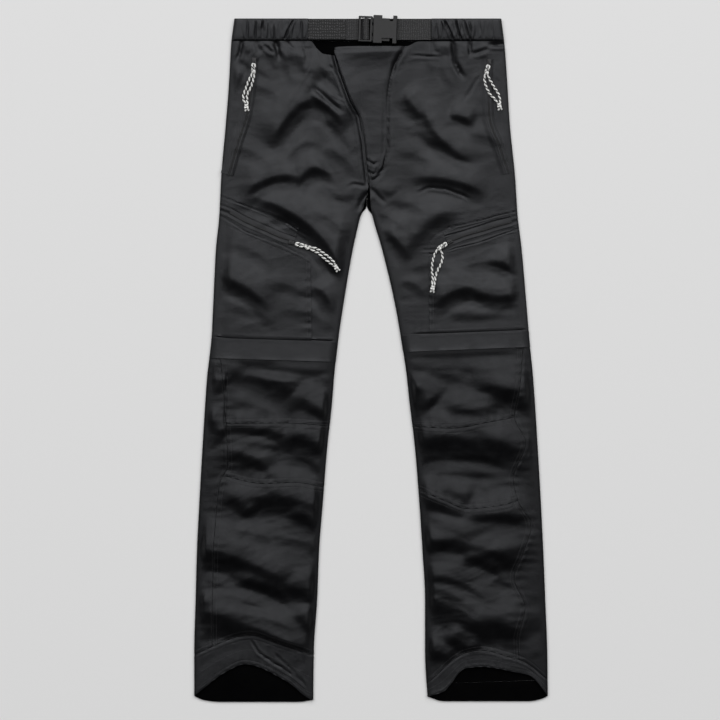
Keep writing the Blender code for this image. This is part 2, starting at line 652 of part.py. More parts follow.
def lower_leg(side, group, guides, cloth, tape):
    """Zip ring, storm flap, shin and knee panels, wrapped back and hem of one lower leg."""
    leg = side.leg
    edges = ((side.west_line, folded), (side.east_line, folded))
    zip_low = shifted(side.zip_line, ZIP_TAPE)
    ring_low = shifted(zip_low, -GAP / 2)
    ring_top = shifted(side.zip_line, GAP / 2)
    clad(close("knee_zip_" + side.word, ring_rows(leg, ring_top, ring_low, ring_top, ring_low, edges,
                                                  WALL, 1, LOWER_COLUMNS), group, ring=True), tape)
    flap = front_rows(leg, side.flap, shifted(side.flap, side.flap_deep), edges, even(2),
                      LOWER_COLUMNS, lift=GAP + FLAP_THICK, wall=FLAP_THICK, angles=ANGLES[1:])
    clad(close("knee_flap_" + side.word, flap, group), cloth)

    # Front panels between the outseam and the inner edge
    seam = lambda depth: through(side.outseam, depth) + side.inward * GAP / 2
    panel_sides = side.panel_sides(seam)
    lines = [(shifted(zip_low, GAP / 2), shifted(side.knee_top, -GAP / 2), "shin_upper_", 5),
             (shifted(side.knee_top, GAP / 2), shifted(side.knee_low, -GAP / 2), "knee_panel_", 4),
             (shifted(side.knee_low, GAP / 2), shifted(side.hem_top, -GAP / 2), "shin_lower_", 11)]
    crossings = []
    for top, bottom, word, count in lines:
        rows = front_rows(leg, top, bottom, panel_sides, even(count), LOWER_COLUMNS)
        clad(close(word + side.word, rows, group), cloth)
        crossings += [meet(seam, top, bottom, part)[1] for part in even(count)[:-1]]
    crossings = crossings[1:]

    # Back panel, wrapped round the outer edge up to the outseam
    near = lambda depth: through(side.outseam, depth) - side.inward * GAP / 2
    start = shifted(zip_low, GAP / 2)
    end = shifted(side.hem_top, -GAP / 2)
    under_end = shifted(side.hem_under, -GAP / 2)
    rows = []
    for part in rows_between(near, start, end, crossings):
        strip = front_rows(leg, start, end, side.strip_sides(near), [part], STRIP_COLUMNS)[0]
        under = back_rows(start, under_end, edges, [part], BACK_COLUMNS)[0]
        if side.inward < 0:
            strip = strip[::-1]
            under = under[::-1]
        outside, inside = strip[0]
        strip[0] = (Vector((outside.x, outside.y, HALF * MM)), Vector((inside.x, inside.y, HALF * MM)))
        rows.append(under[::-1][:-1] + strip)
    clad(close("lower_back_" + side.word, rows, group), cloth)

    # Turned hem all round
    hem = []
    top = shifted(side.hem_top, GAP / 2)
    under_top = shifted(side.hem_under, GAP / 2)
    for part in even(HEM_ROWS):
        strip = front_rows(leg, top, side.hem_edge, side.strip_sides(near), [part], STRIP_COLUMNS,
                           wall=HEM_WALL)[0]
        panel = front_rows(leg, top, side.hem_edge, panel_sides, [part], LOWER_COLUMNS,
                           wall=HEM_WALL)[0]
        under = back_rows(under_top, side.back_edge, edges, [part], BACK_COLUMNS, wall=HEM_WALL)[0]
        over = strip[:-1] + panel if side.inward > 0 else panel + strip[1:]
        for end_of_row in (0, -1):
            outside, inside = over[end_of_row]
            over[end_of_row] = (Vector((outside.x, outside.y, HALF * MM)),
                                Vector((inside.x, outside.y, HALF * MM)))
        hem.append(over + under[1:-1][::-1])
    clad(close("hem_" + side.word, hem, group, ring=True), cloth)


def casing(word, start, end, edge, group, cloth):
    """A length of gathered waistband on the front. edge is +1 or -1 where it ends in the fold at
    the side of the waist, with the fold to that side."""
    rows = []
    for share, crown in BAND_ROWS:
        depth = share * BAND_BOTTOM
        row = []
        fold = through(RIGHT_OUTER if edge < 0 else LEFT_OUTER, depth)
        flat_end = fold - edge * ROUND
        open_end = end if edge < 0 else start
        for i in range(BAND_COLUMNS + 1):
            x = mix(flat_end, open_end, i / BAND_COLUMNS)
            wave = GATHER_HEIGHT * (i % 2) * (0.65 + 0.35 * math.sin(GATHER_TURN * i))
            top = 2 * BAND_HALF - BAND_CROWN * (1 - crown) + wave * crown
            row.append((place(x, depth, top), place(x, depth, 2 * BAND_HALF - BAND_WALL)))
        rim = []
        for angle in ANGLES[:-1]:
            pair = [rim_point(fold, -edge, angle, inset, 1, BAND_HALF) for inset in (0, BAND_WALL)]
            pair[0].z -= BAND_CROWN * (1 - crown) * math.sin(angle)
            rim.append(tuple(place(p.x, depth, p.z) for p in pair))
        rows.append(rim + row)
    return clad(close("waistband_" + word, rows, group), cloth)


def back_casing(group, cloth):
    """The waistband across the back, flat underneath."""
    rows = []
    for share, crown in BAND_ROWS:
        depth = share * BAND_BOTTOM
        row = []
        folds = [through(RIGHT_OUTER, depth), through(LEFT_OUTER, depth)]
        for side, fold in zip((1, -1), folds):
            rim = []
            for angle in ANGLES:
                pair = [rim_point(fold, side, angle, inset, -1, BAND_HALF) for inset in (0, BAND_WALL)]
                rim.append(tuple(place(p.x, depth, p.z) for p in pair))
            row.append(rim)
        first, last = folds[0] + ROUND, folds[1] - ROUND
        middle = []
        for i in range(1, BAND_BACK_COLUMNS):
            x = mix(first, last, i / BAND_BACK_COLUMNS)
            middle.append((place(x, depth, 0), place(x, depth, BAND_WALL)))
        rows.append(row[0] + middle + row[1][::-1])
    return clad(close("waistband_back", rows, group), cloth)


def ribbon(name, path, thick, top, deep, group, material):
    """A band of webbing, given by its middle line in x, height and laid over a depth."""
    mesh = bmesh.new()
    low = beside(path, -thick / 2)
    high = beside(path, thick / 2)
    outline = low + high[::-1]
    base = [mesh.verts.new(place(x, top, z)) for x, z in outline]
    face = mesh.faces.new(base)
    moved = bmesh.ops.extrude_face_region(mesh, geom=[face])["geom"]
    for vert in (v for v in moved if isinstance(v, bmesh.types.BMVert)):
        vert.co.y = (WAIST_Y - top - deep) * MM
    return clad(finish(name, mesh, group), material)


def block(name, x, depth, height, group, soft=0.0):
    """A box between two values of x, depth and height, with softened edges."""
    low = place(x[0], depth[1], height[0])
    high = place(x[1], depth[0], height[1])
    mesh = bmesh.new()
    bmesh.ops.create_cube(mesh, size=1.0)
    for vert in mesh.verts:
        vert.co = Vector([(low[i] + high[i]) / 2 + vert.co[i] * (high[i] - low[i]) for i in range(3)])
    if soft:
        mesh.normal_update()
        bmesh.ops.bevel(mesh, geom=mesh.edges[:], offset=soft * MM, segments=1, affect="EDGES")
    return finish(name, mesh, group)


def join(piece, other):
    cut(piece, other, "UNION")


def about(middle, deep):
    return (middle - deep / 2, middle + deep / 2)


def tilt(pieces):
    """Turn pieces about the middle of the buckle."""
    centre = place(*BUCKLE_CENTRE, 0)
    turn = Vector((math.cos(BUCKLE_TILT), math.sin(BUCKLE_TILT)))
    for piece in pieces:
        for vert in piece.data.vertices:
            x, y = vert.co.x - centre.x, vert.co.y - centre.y
            vert.co.x = centre.x + x * turn.x - y * turn.y
            vert.co.y = centre.y + x * turn.y + y * turn.x


def buckle(group, guides, plastic):
    """Side-release buckle: a ladder frame with a tongue and two prongs, and the socket round them."""
    middle = BUCKLE_CENTRE[1]
    frame_top = FRAME_LOW + FRAME_THICK
    plug = block("buckle_plug", FRAME_X, about(middle, FRAME_DEEP), (FRAME_LOW, frame_top), group,
                 SOFT_EDGE)
    slot = block("plug_slot", FRAME_SLOT_X, about(middle, FRAME_DEEP - 2 * FRAME_BAR),
                 (FRAME_LOW - 2, frame_top + 2), guides)
    bar = block("plug_bar", MIDDLE_BAR_X, about(middle, FRAME_DEEP - FRAME_BAR),
                (FRAME_LOW + GAP, FRAME_LOW + MIDDLE_BAR_THICK), guides)
    arm_low, arm_high = TONGUE_LOW, TONGUE_LOW + TONGUE_THICK
    root = FRAME_X[1] - 1
    tongue = block("plug_tongue", (root, TONGUE_REACH), about(middle, TONGUE_WIDE),
                   (arm_low, arm_high), guides)
    parts = [slot, bar, tongue]
    cut(plug, slot)
    join(plug, bar)
    join(plug, tongue)
    for word, sign in (("upper", -1), ("lower", 1)):
        near = middle + sign * (PRONG_OUT - PRONG_WIDE)
        far = middle + sign * PRONG_OUT
        prong = block("plug_prong_" + word, (root, TONGUE_REACH), tuple(sorted((near, far))),
                      (arm_low, arm_high), guides)
        join(plug, prong)
        parts.append(prong)
    clad(plug, plastic)

    socket_top = SOCKET_LOW + SOCKET_THICK
    socket = block("buckle_socket", SOCKET_X, about(middle, SOCKET_DEEP), (SOCKET_LOW, socket_top),
                   group, SOFT_EDGE)
    hollow = block("socket_hollow", (SOCKET_X[0] - 3, SOCKET_CAVITY_END),
                   about(middle, SOCKET_DEEP - 2 * SOCKET_WALL),
                   (SOCKET_LOW + SOCKET_WALL, socket_top - SOCKET_WALL), guides)
    collar = block("socket_collar", (COLLAR_FROM, SOCKET_X[1] + 3), about(middle, SOCKET_DEEP + 4),
                   (SOCKET_LOW - 2, COLLAR_LOW), guides)
    parts += [hollow, collar]
    cut(socket, hollow)
    cut(socket, collar)
    for word, sign in (("upper", -1), ("lower", 1)):
        far = middle + sign * (SOCKET_DEEP / 2 + 3)
        near = middle + sign * (SOCKET_DEEP / 2 - NOTCH_DEEP)
        notch = block("socket_notch_" + word, NOTCH_X, tuple(sorted((near, far))),
                      (SOCKET_LOW - 2, socket_top + 2), guides)
        cut(socket, notch)
        parts.append(notch)
    clad(socket, plastic)
    tilt([plug, socket] + parts)


def turned(x, depth, degrees):
    """Turns a small piece's own length and width to the cloth: length runs down at 0 degrees and
    towards +x at 90."""
    angle = math.radians(degrees)
    down = Vector((math.sin(angle), math.cos(angle)))
    out = Vector((math.cos(angle), -math.sin(angle)))
    return lambda u, v: Vector((x, depth)) + down * u + out * v


def turned_block(name, at, long, wide, low, high, group, soft=0.0):
    """A box that follows a heading on the cloth."""
    mesh = bmesh.new()
    bmesh.ops.create_cube(mesh, size=1.0)
    for vert in mesh.verts:
        x, depth = at(vert.co.x * long, vert.co.y * wide)
        vert.co = place(x, depth, mix(low, high, vert.co.z + 0.5))
    if soft:
        mesh.normal_update()
        bmesh.ops.bevel(mesh, geom=mesh.edges[:], offset=soft * MM, segments=1, affect="EDGES")
    return finish(name, mesh, group)


def slider(name, leg, x, depth, heading, group, guides, metal):
    """A zip slider: a flat body and the crown that the cord goes through."""
    at = turned(x, depth, heading)
    corners = [(u * SLIDER_LONG / 2, v * SLIDER_WIDE / 2) for u in (-1, 0, 1) for v in (-1, 0, 1)]
    highest = max(leg.height(*at(u, v)) for u, v in corners)
    low = highest + GAP + TAPE_THICK + SLIDER_CLEAR
    high = low + SLIDER_THICK
    body = turned_block(name, at, SLIDER_LONG, SLIDER_WIDE, low, high, group, SLIDER_SOFT)
    crown = turned_block(name + "_crown", at, CROWN_LONG, CROWN_WIDE, high - CROWN_SOFT,
                         high + CROWN_HIGH, guides, CROWN_SOFT)
    eye = turned_block(name + "_eye", at, CROWN_LONG - 2 * CROWN_WALL, CROWN_WIDE + 2, high - GAP,
                       high + CROWN_HIGH - CROWN_WALL, guides)
    join(body, crown)
    cut(body, eye)
    return clad(body, metal)


class Lump:
    """The rounded outer shape of a knot, in the cloth's frame."""

    def __init__(self, leg, at, half):
        x, depth, rise, heading = at
        self.at = turned(x, depth, heading)
        self.middle = leg.height(x, depth) + rise
        self.half = half

    def point(self, u, v, w):
        x, depth = self.at(u * self.half[0], v * self.half[1])
        return place(x, depth, self.middle + w * self.half[2])

    def holds(self, point, clear):
        """Whether a point in metres lies inside, or within clear of, the lump."""
        centre = self.point(0, 0, 0)
        long = (self.point(1, 0, 0) - centre).normalized()
        wide = (self.point(0, 1, 0) - centre).normalized()
        off = (point - centre) / MM
        parts = (off.dot(long), off.dot(wide), off.z)
        return sum((part / (half + clear)) ** 2 for part, half in zip(parts, self.half)) < 1

    def make(self, name, group, material):
        mesh = bmesh.new()
        bmesh.ops.create_uvsphere(mesh, u_segments=8, v_segments=5, radius=1.0)
        for vert in mesh.verts:
            vert.co = self.point(*vert.co)
        return clad(finish(name, mesh, group), material)


def smooth_route(points):
    """A finely stepped smooth curve through a route's own points."""
    chain = [points[0] * 2 - points[1]] + points + [points[-1] * 2 - points[-2]]
    fine = []
    for a, b, c, d in zip(chain, chain[1:], chain[2:], chain[3:]):
        for step in range(ROUTE_STEPS):
            t = step / ROUTE_STEPS
            fine.append(0.5 * (2 * b + (c - a) * t + (2 * a - 5 * b + 4 * c - d) * t ** 2
                               + (3 * b - a - 3 * c + d) * t ** 3))
    return fine + [points[-1]]


def spread_out(fine, count):
    """Evenly spread points along a finely stepped curve."""
    lengths = [0.0]
    for a, b in zip(fine, fine[1:]):
        lengths.append(lengths[-1] + (b - a).length)
    spread = []
    for i in range(count):
        want = lengths[-1] * i / (count - 1)
        k = max(j for j in range(len(fine) - 1) if lengths[j] <= want + 1e-12)
        part = (want - lengths[k]) / (lengths[k + 1] - lengths[k])
        spread.append(fine[k].lerp(fine[k + 1], min(part, 1.0)))
    return spread


def strand(name, leg, route, ends, group, material):
    """One strand of a pull, as a round cord between the lumps at its ends."""
    fine = smooth_route([place(x, depth, leg.height(x, depth) + rise) for x, depth, rise in route])
    free = [point for point in fine if not any(end.holds(point, TRIM) for end in ends)]
    line = bpy.data.curves.new(name, "CURVE")
    line.dimensions = "3D"
    line.bevel_depth = CORD / 2 * MM
    line.bevel_resolution = CORD_SIDES
    line.use_fill_caps = True
    spline = line.splines.new("POLY")
    spread = spread_out(free, STRAND_POINTS)
    spline.points.add(len(spread) - 1)
    for slot, point in zip(spline.points, spread):
        slot.co = (*point, 1.0)
    piece = bpy.data.objects.new(name, line)
    group.objects.link(piece)
    return clad(piece, material)


def pull(word, leg, sizes, group, guides, cord, metal):
    """Slider, head knot, two strands and end knot of one zip pull."""
    x, depth, heading = sizes["slider"]
    slider("slider_" + word, leg, x, depth, heading, group, guides, metal)
    head = Lump(leg, sizes["head"], (sizes["head_half"], HEAD_HALF_WIDE, HEAD_HALF_HIGH))
    knot = Lump(leg, sizes["knot"], KNOT_HALF)
    head.make("pull_" + word + "_head", group, cord)
    for letter in "ab":
        strand("pull_" + word + "_" + letter, leg, sizes[letter], (head, knot), group, cord)
    knot.make("pull_" + word + "_knot", group, cord)


def material(name, color, roughness, metallic=0.0):
    made = bpy.data.materials.new(name)
    made.use_nodes = True
    surface = made.node_tree.nodes["Principled BSDF"]
    surface.inputs["Base Color"].default_value = (*color, 1.0)
    surface.inputs["Roughness"].default_value = roughness
    surface.inputs["Metallic"].default_value = metallic
    return made


def sides():
    """Both legs, with the lines that their pieces share."""
    right = Side("right", RIGHT, {
        "top": RIGHT_TOP, "zip_line": RIGHT_ZIP, "flap": RIGHT_FLAP, "flap_deep": RIGHT_FLAP_DEEP,
        "outseam": RIGHT_OUTSEAM, "knee_top": RIGHT_KNEE_TOP, "knee_low": RIGHT_KNEE_LOW,
        "hem_top": RIGHT_HEM_TOP, "hem_under": RIGHT_HEM_UNDER, "hem_edge": RIGHT_HEM_EDGE,
        "back_edge": RIGHT_BACK_EDGE, "hand_zip": RIGHT_HAND_ZIP, "thigh_zip": RIGHT_THIGH_ZIP,
        "welt_wide": RIGHT_WELT_WIDE, "bag": RIGHT_BAG, "inward": 1,
        "west_line": from_table(RIGHT_OUTER), "east_line": from_table(RIGHT_INNER)})
    left = Side("left", LEFT, {
        "top": LEFT_TOP, "zip_line": LEFT_ZIP, "flap": LEFT_FLAP, "flap_deep": LEFT_FLAP_DEEP,
        "outseam": LEFT_OUTSEAM, "knee_top": LEFT_KNEE_TOP, "knee_low": LEFT_KNEE_LOW,
        "hem_top": LEFT_HEM_TOP, "hem_under": LEFT_HEM_UNDER, "hem_edge": LEFT_HEM_EDGE,
        "back_edge": LEFT_BACK_EDGE, "hand_zip": LEFT_HAND_ZIP, "thigh_zip": LEFT_THIGH_ZIP,
        "welt_wide": LEFT_WELT_WIDE, "bag": LEFT_BAG, "inward": -1,
        "west_line": from_table(LEFT_INNER), "east_line": from_table(LEFT_OUTER)})
    right.outer_line = right.west_line
    left.outer_line = left.east_line
    right.west_front = right.west_back = (right.west_line, folded)
    right.east_front = (inside_line(FLY_EDGE, RIGHT_INNER, -FLY_GAP / 2), folded_below_crotch)
    right.east_back = (seat_line(RIGHT_INNER, -GAP / 2), folded_below_crotch)
    left.west_front = (inside_line(FLY_EDGE, LEFT_INNER, FLY_GAP / 2), folded_below_crotch)
    left.west_back = (seat_line(LEFT_INNER, GAP / 2), folded_below_crotch)
    left.east_front = left.east_back = (left.east_line, folded)
    right.panel_sides = lambda seam: ((seam, None), (right.east_line, folded))
    left.panel_sides = lambda seam: ((left.west_line, folded), (seam, None))
    right.strip_sides = lambda seam: ((right.west_line, folded), (seam, None))
    left.strip_sides = lambda seam: ((seam, None), (left.east_line, folded))
    return right, left


def build():
    for thing in list(bpy.data.objects):
        bpy.data.objects.remove(thing, do_unlink=True)
    group = bpy.data.collections.new("zip_off_trousers")
    guides = bpy.data.collections.new("guides")
    for collection in (group, guides):
        bpy.context.scene.collection.children.link(collection)

    cloth = material("nylon", (0.055, 0.055, 0.06), 0.62)
    tape = material("zip_tape", (0.03, 0.03, 0.033), 0.7)
    web = material("webbing", (0.035, 0.035, 0.037), 0.8)
    plastic = material("buckle_plastic", (0.05, 0.05, 0.052), 0.45)
    metal = material("slider_metal", (0.12, 0.12, 0.125), 0.4, 0.8)
    cord = material("cord", (0.75, 0.75, 0.72), 0.8)

    right, left = sides()
    for side in (right, left):
        front = upper_leg(side, group, guides, cloth)
        pockets(side, front, group, guides, cloth, tape)
        if side is left:
            lay_on("fly_flap", front, FLY_FLAP, FLAP_THICK, group, guides, cloth)
        lower_leg(side, group, guides, cloth, tape)
    clad(prism("fly_underlap", UNDERLAP, UNDERLAP_LOW, UNDERLAP_LOW + UNDERLAP_THICK, group), cloth)

    casing("right", 0, BAND_RIGHT_END, -1, group, cloth)
    casing("left", BAND_LEFT_END, 0, 1, group, cloth)
    back_casing(group, cloth)
    ribbon("belt_right", WEB_RIGHT, WEB_THICK, WEB_TOP, WEB_DEEP, group, web)
    ribbon("belt_left", WEB_LEFT, WEB_THICK, WEB_TOP, WEB_DEEP, group, web)
    ribbon("belt_elastic", ELASTIC, ELASTIC_THICK, ELASTIC_TOP, ELASTIC_DEEP, group, web)
    buckle(group, guides, plastic)
    for word, sizes in PULLS.items():
        leg = RIGHT if word.endswith("right") else LEFT
        pull(word, leg, sizes, group, guides, cord, metal)


build()
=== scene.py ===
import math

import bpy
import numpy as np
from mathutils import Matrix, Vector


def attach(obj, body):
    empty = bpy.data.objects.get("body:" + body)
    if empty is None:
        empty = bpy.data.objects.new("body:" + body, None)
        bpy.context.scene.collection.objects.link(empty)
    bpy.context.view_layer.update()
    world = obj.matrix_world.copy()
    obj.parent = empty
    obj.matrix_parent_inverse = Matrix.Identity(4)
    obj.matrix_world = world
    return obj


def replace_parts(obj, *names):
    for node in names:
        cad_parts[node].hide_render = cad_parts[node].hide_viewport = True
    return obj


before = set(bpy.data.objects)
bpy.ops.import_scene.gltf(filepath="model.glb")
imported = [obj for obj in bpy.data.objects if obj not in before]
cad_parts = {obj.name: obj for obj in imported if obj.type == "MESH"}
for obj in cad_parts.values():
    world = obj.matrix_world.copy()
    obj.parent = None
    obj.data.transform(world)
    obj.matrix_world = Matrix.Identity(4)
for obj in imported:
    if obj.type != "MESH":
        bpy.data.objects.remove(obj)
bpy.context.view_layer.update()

# Convertible zip-off trousers laid flat on a pale surface. Tables are in millimetres: x runs to the
# left of the wearer, depth down from the top of the waistband, height from the surface. Angles are in
# degrees. metres() turns them into the frame.

MM = 0.001
WAIST_Y = 517.1            # y of depth 0
WALL = 1.5
LAYERS = 6.0
HALF = LAYERS / 2
ROUND = 8.0                # width of an edge where the leg is folded over
SQUARE = 3.0               # and of a plain one
GAP = 0.3
FLY_GAP = 2.0
HEM_WALL = 2.2
ZIP_TAPE = 12.0
CROTCH = 290.0
LOWER_TOP = 500.0          # where the looks of the lower legs begin
BAND_BOTTOM = 34.0
SLOPE_STEP = 1.2

# Folds: how far from the zip-off line they start, the widths over which they rise beside the edges, that
# line and the waistband, and their shapes
FADE = 24.0
LOWER_FADE = 11.0
ZIP_CALM = 25.0
ZIP_FADE = 20.0
BAND_FADE = 25.0
FOLD_FLOOR = 6.0           # narrowest side of a main fold
CREASE_FLOOR = 3.5         # and of a fine one
TROUGH = 0.2               # trough at the foot of a fold, as a share of its height
FOLD_SHARP = 0.82          # steep sides, as a share of their width in the table
CREASE_SHARP = 0.9
FOLD_RISE = 1.12
CREASE_RISE = 0.8

# Grids
CLOTH_STEP = 2.1           # between points of the front cloth
BACK_STEP = 6.0            # and of the plain backs
EDGE_ANGLES = np.radians([0, 11, 22, 34, 46, 60, 75, 90])
SEAM_STEPS = [0.0, 0.5, 1.1, 1.7, 2.3, 3.0, 4.2, 5.4, 6.1, 6.7, 7.3, 8.4, 10.0]
EDGE_STITCH = 3            # place of each stitch line in SEAM_STEPS
SECOND_STITCH = 9


class Line:
    """A smooth curve through a two-column table that never overshoots its rows."""

    def __init__(self, rows):
        self.rows = np.array(rows, float)
        self.at, self.value = self.rows.T
        slope = np.diff(self.value) / np.diff(self.at)
        turn = slope[:-1] * slope[1:]
        total = slope[:-1] + slope[1:]
        inner = np.where(turn > 0, 2 * turn / np.where(total == 0, 1, total), 0.0)
        self.tangent = np.concatenate([slope[:1], inner, slope[-1:]])

    def __call__(self, at):
        at = np.clip(at, self.at[0], self.at[-1])
        row = np.clip(np.searchsorted(self.at, at, "right") - 1, 0, len(self.at) - 2)
        span = self.at[row + 1] - self.at[row]
        t = (at - self.at[row]) / span
        return (self.value[row] * (2 * t ** 3 - 3 * t ** 2 + 1)
                + self.tangent[row] * span * (t ** 3 - 2 * t ** 2 + t)
                + self.value[row + 1] * (3 * t ** 2 - 2 * t ** 3)
                + self.tangent[row + 1] * span * (t ** 3 - t ** 2))

    def moved(self, by):
        """The same curve with its values moved by a distance."""
        return Line(self.rows + np.array([0.0, by]))


# Outer edges of the legs: depth, x
RIGHT_OUTER = Line([(0, -208), (40, -213), (95, -216), (160, -221), (240, -228), (300, -231),
                    (350, -236), (430, -240), (490, -243), (540, -249), (580, -252), (660, -257),
                    (730, -261), (810, -265), (885, -267), (960, -269), (1039, -269)])
LEFT_OUTER = Line([(0, 198), (40, 203), (95, 207), (160, 211), (240, 219), (300, 223), (350, 229),
                   (430, 236), (490, 241), (540, 246), (580, 249), (660, 254), (730, 258), (810, 262),
                   (885, 265), (960, 268), (1039, 269)])
# Inner edges, from the crotch down: depth, x
RIGHT_INNER = Line([(256, -4), (290, -13), (300, -16), (352, -28), (428, -41), (489, -50), (542, -56),
                    (580, -59), (656, -67), (732, -73), (808, -79), (884, -82), (960, -87), (1039, -88)])
LEFT_INNER = Line([(256, -2), (290, 0), (300, 2), (352, 17), (428, 35), (489, 46), (542, 54), (580, 58),
                   (656, 67), (732, 73), (808, 78), (884, 82), (960, 82), (1039, 86)])
# Opening edge of the fly, and the seam between the backs: depth, x
FLY_EDGE = Line([(34, -60), (81, -47), (125, -31), (150, -17), (188, -11), (218, -8), (256, -3)])
SEAT_SEAM = Line([(34, -3), (200, -4), (290, -7)])

# Top edges, zip-off lines and storm flaps: x, depth
RIGHT_TOP = Line([(-215, 34.3), (-92, 34.3), (-82, 46), (-72, 54), (-48, 57)])
LEFT_TOP = Line([(-62, 46), (-48, 43), (-20, 42), (54, 42), (72, 35), (205, 34.3)])
BACK_TOP = Line([(-300, 34.3), (300, 34.3)])
RIGHT_ZIP = Line([(-245, 499), (-50, 505)])
LEFT_ZIP = Line([(45, 488), (243, 480)])
RIGHT_FLAP = Line([(-245, 486), (-50, 492)])
LEFT_FLAP = Line([(45, 482), (243, 474)])
RIGHT_FLAP_DEEP = 30.0
LEFT_FLAP_DEEP = 25.0
# Outseams of the lower legs: depth, x
RIGHT_OUTSEAM = Line([(505, -230), (560, -225), (613, -221), (679, -218), (706, -230), (760, -236),
                      (823, -240), (960, -242), (1039, -242)])
LEFT_OUTSEAM = Line([(488, 232), (560, 226), (606, 218), (645, 235), (700, 216), (730, 222), (773, 243),
                     (815, 230), (850, 217), (896, 234), (945, 223), (1039, 233)])
# Seams across the lower legs, hems and lower edges: x, depth
RIGHT_KNEE_TOP = Line([(-225, 616), (-129, 615), (-70, 619)])
RIGHT_KNEE_LOW = Line([(-230, 694), (-163, 707), (-116, 705), (-73, 712)])
LEFT_KNEE_TOP = Line([(62, 620), (125, 623), (172, 615), (218, 606)])
LEFT_KNEE_LOW = Line([(74, 717), (109, 732), (146, 745), (202, 739), (231, 731), (245, 735)])
RIGHT_HEM_TOP = Line([(-269, 968), (-208, 942), (-184, 937), (-143, 949), (-88, 968)])
RIGHT_HEM_EDGE = Line([(-269, 1030), (-218, 992), (-192, 982), (-128, 1008), (-96, 1033), (-88, 1036)])
LEFT_HEM_TOP = Line([(84.5, 1012), (144, 965), (167, 961), (210, 971), (232, 978), (269, 1006)])
LEFT_HEM_EDGE = Line([(86, 1031), (109, 1024), (144, 988), (169, 986), (219, 994), (241, 999),
                      (269, 1030)])
RIGHT_HEM_UNDER = Line([(-269, 968), (-88, 968)])
LEFT_HEM_UNDER = Line([(84.5, 1012), (269, 1006)])
RIGHT_BACK_EDGE = Line([(-269, 1030), (-256, 1036), (-230, 1039), (-110, 1039), (-88, 1036)])
LEFT_BACK_EDGE = Line([(86, 1031), (110, 1038), (240, 1038), (258, 1035), (269, 1030)])

# Main folds on the front: start x, start depth, end x, end depth, bow, height, soft side, steep side.
# The steep side lies to the hem of a fold that runs towards +x.
FOLDS = [
    (-150, 185, -88, 118, -10, 6.0, 30, 12),
    (-92, 116, -40, 158, -6, 6.0, 30, 12),
    (-84, 62, -34, 140, -8, 4.0, 26, 12),
    (-122, 148, -84, 60, 4, 4.5, 24, 18),
    (-190, 262, -108, 240, -12, 5.5, 26, 13),
    (-112, 250, -68, 230, -14, 5.0, 22, 12),
    (-160, 274, -30, 408, -22, 8.0, 36, 14),
    (-240, 386, -158, 430, -6, 5.5, 34, 12),
    (-84, 406, -54, 446, -6, 4.0, 24, 11),
    (-200, 518, -116, 564, -6, 6.2, 26, 21),
    (-118, 572, -62, 606, -8, 5.6, 26, 20),
    (-216, 618, -124, 632, -4, 5.0, 22, 16),
    (-128, 628, -68, 654, -10, 7.3, 26, 24),
    (-222, 654, -150, 684, -8, 5.6, 26, 18),
    (-164, 690, -126, 708, -4, 3.9, 20, 15),
    (-220, 718, -178, 750, -4, 5.6, 24, 20),
    (-198, 728, -72, 744, -12, 7.3, 30, 20),
    (-120, 746, -76, 770, -6, 5.6, 22, 18),
    (-264, 802, -128, 852, -8, 9.5, 42, 22),
    (-204, 852, -128, 870, -6, 5.6, 24, 18),
    (-134, 860, -80, 884, -6, 5.0, 22, 18),
    (-262, 878, -232, 914, -4, 5.0, 22, 18),
    (-254, 898, -104, 962, -8, 9.5, 36, 22),
    (-116, 902, -84, 934, -4, 5.0, 22, 18),
    (-250, 536, -226, 560, -3, 3.4, 18, 15),
    (-252, 600, -222, 632, -3, 4.5, 20, 16),
    (80, 130, 152, 214, 12, 5.5, 24, 13),
    (54, 112, 84, 148, 4, 4.0, 22, 11),
    (120, 145, 154, 156, -3, 4.0, 20, 10),
    (74, 240, 166, 258, -5, 5.0, 28, 12),
    (16, 322, 58, 358, -6, 4.5, 22, 12),
    (122, 288, 56, 344, 10, 5.5, 16, 26),
    (186, 364, 236, 398, -6, 5.0, 26, 12),
    (98, 430, 160, 408, -8, 5.5, 30, 13),
    (150, 408, 228, 414, 8, 5.0, 30, 12),
    (62, 552, 92, 588, -6, 5.6, 22, 20),
    (158, 548, 244, 586, -10, 7.3, 30, 21),
    (112, 588, 188, 608, -6, 5.6, 24, 18),
    (70, 636, 232, 652, -12, 10.1, 34, 26),
    (100, 714, 152, 732, -5, 5.0, 22, 18),
    (76, 718, 146, 752, 3, 6.2, 24, 18),
    (144, 756, 230, 750, -5, 6.7, 26, 20),
    (78, 788, 222, 822, -10, 7.8, 36, 22),
    (140, 814, 196, 834, -5, 5.0, 22, 18),
    (82, 840, 184, 886, -10, 7.3, 30, 20),
    (82, 876, 180, 928, -8, 9.0, 36, 24),
    (144, 912, 230, 930, -6, 6.2, 26, 20),
    (114, 938, 160, 962, -5, 5.6, 22, 18),
    (82, 956, 124, 974, -4, 4.5, 20, 16),
]

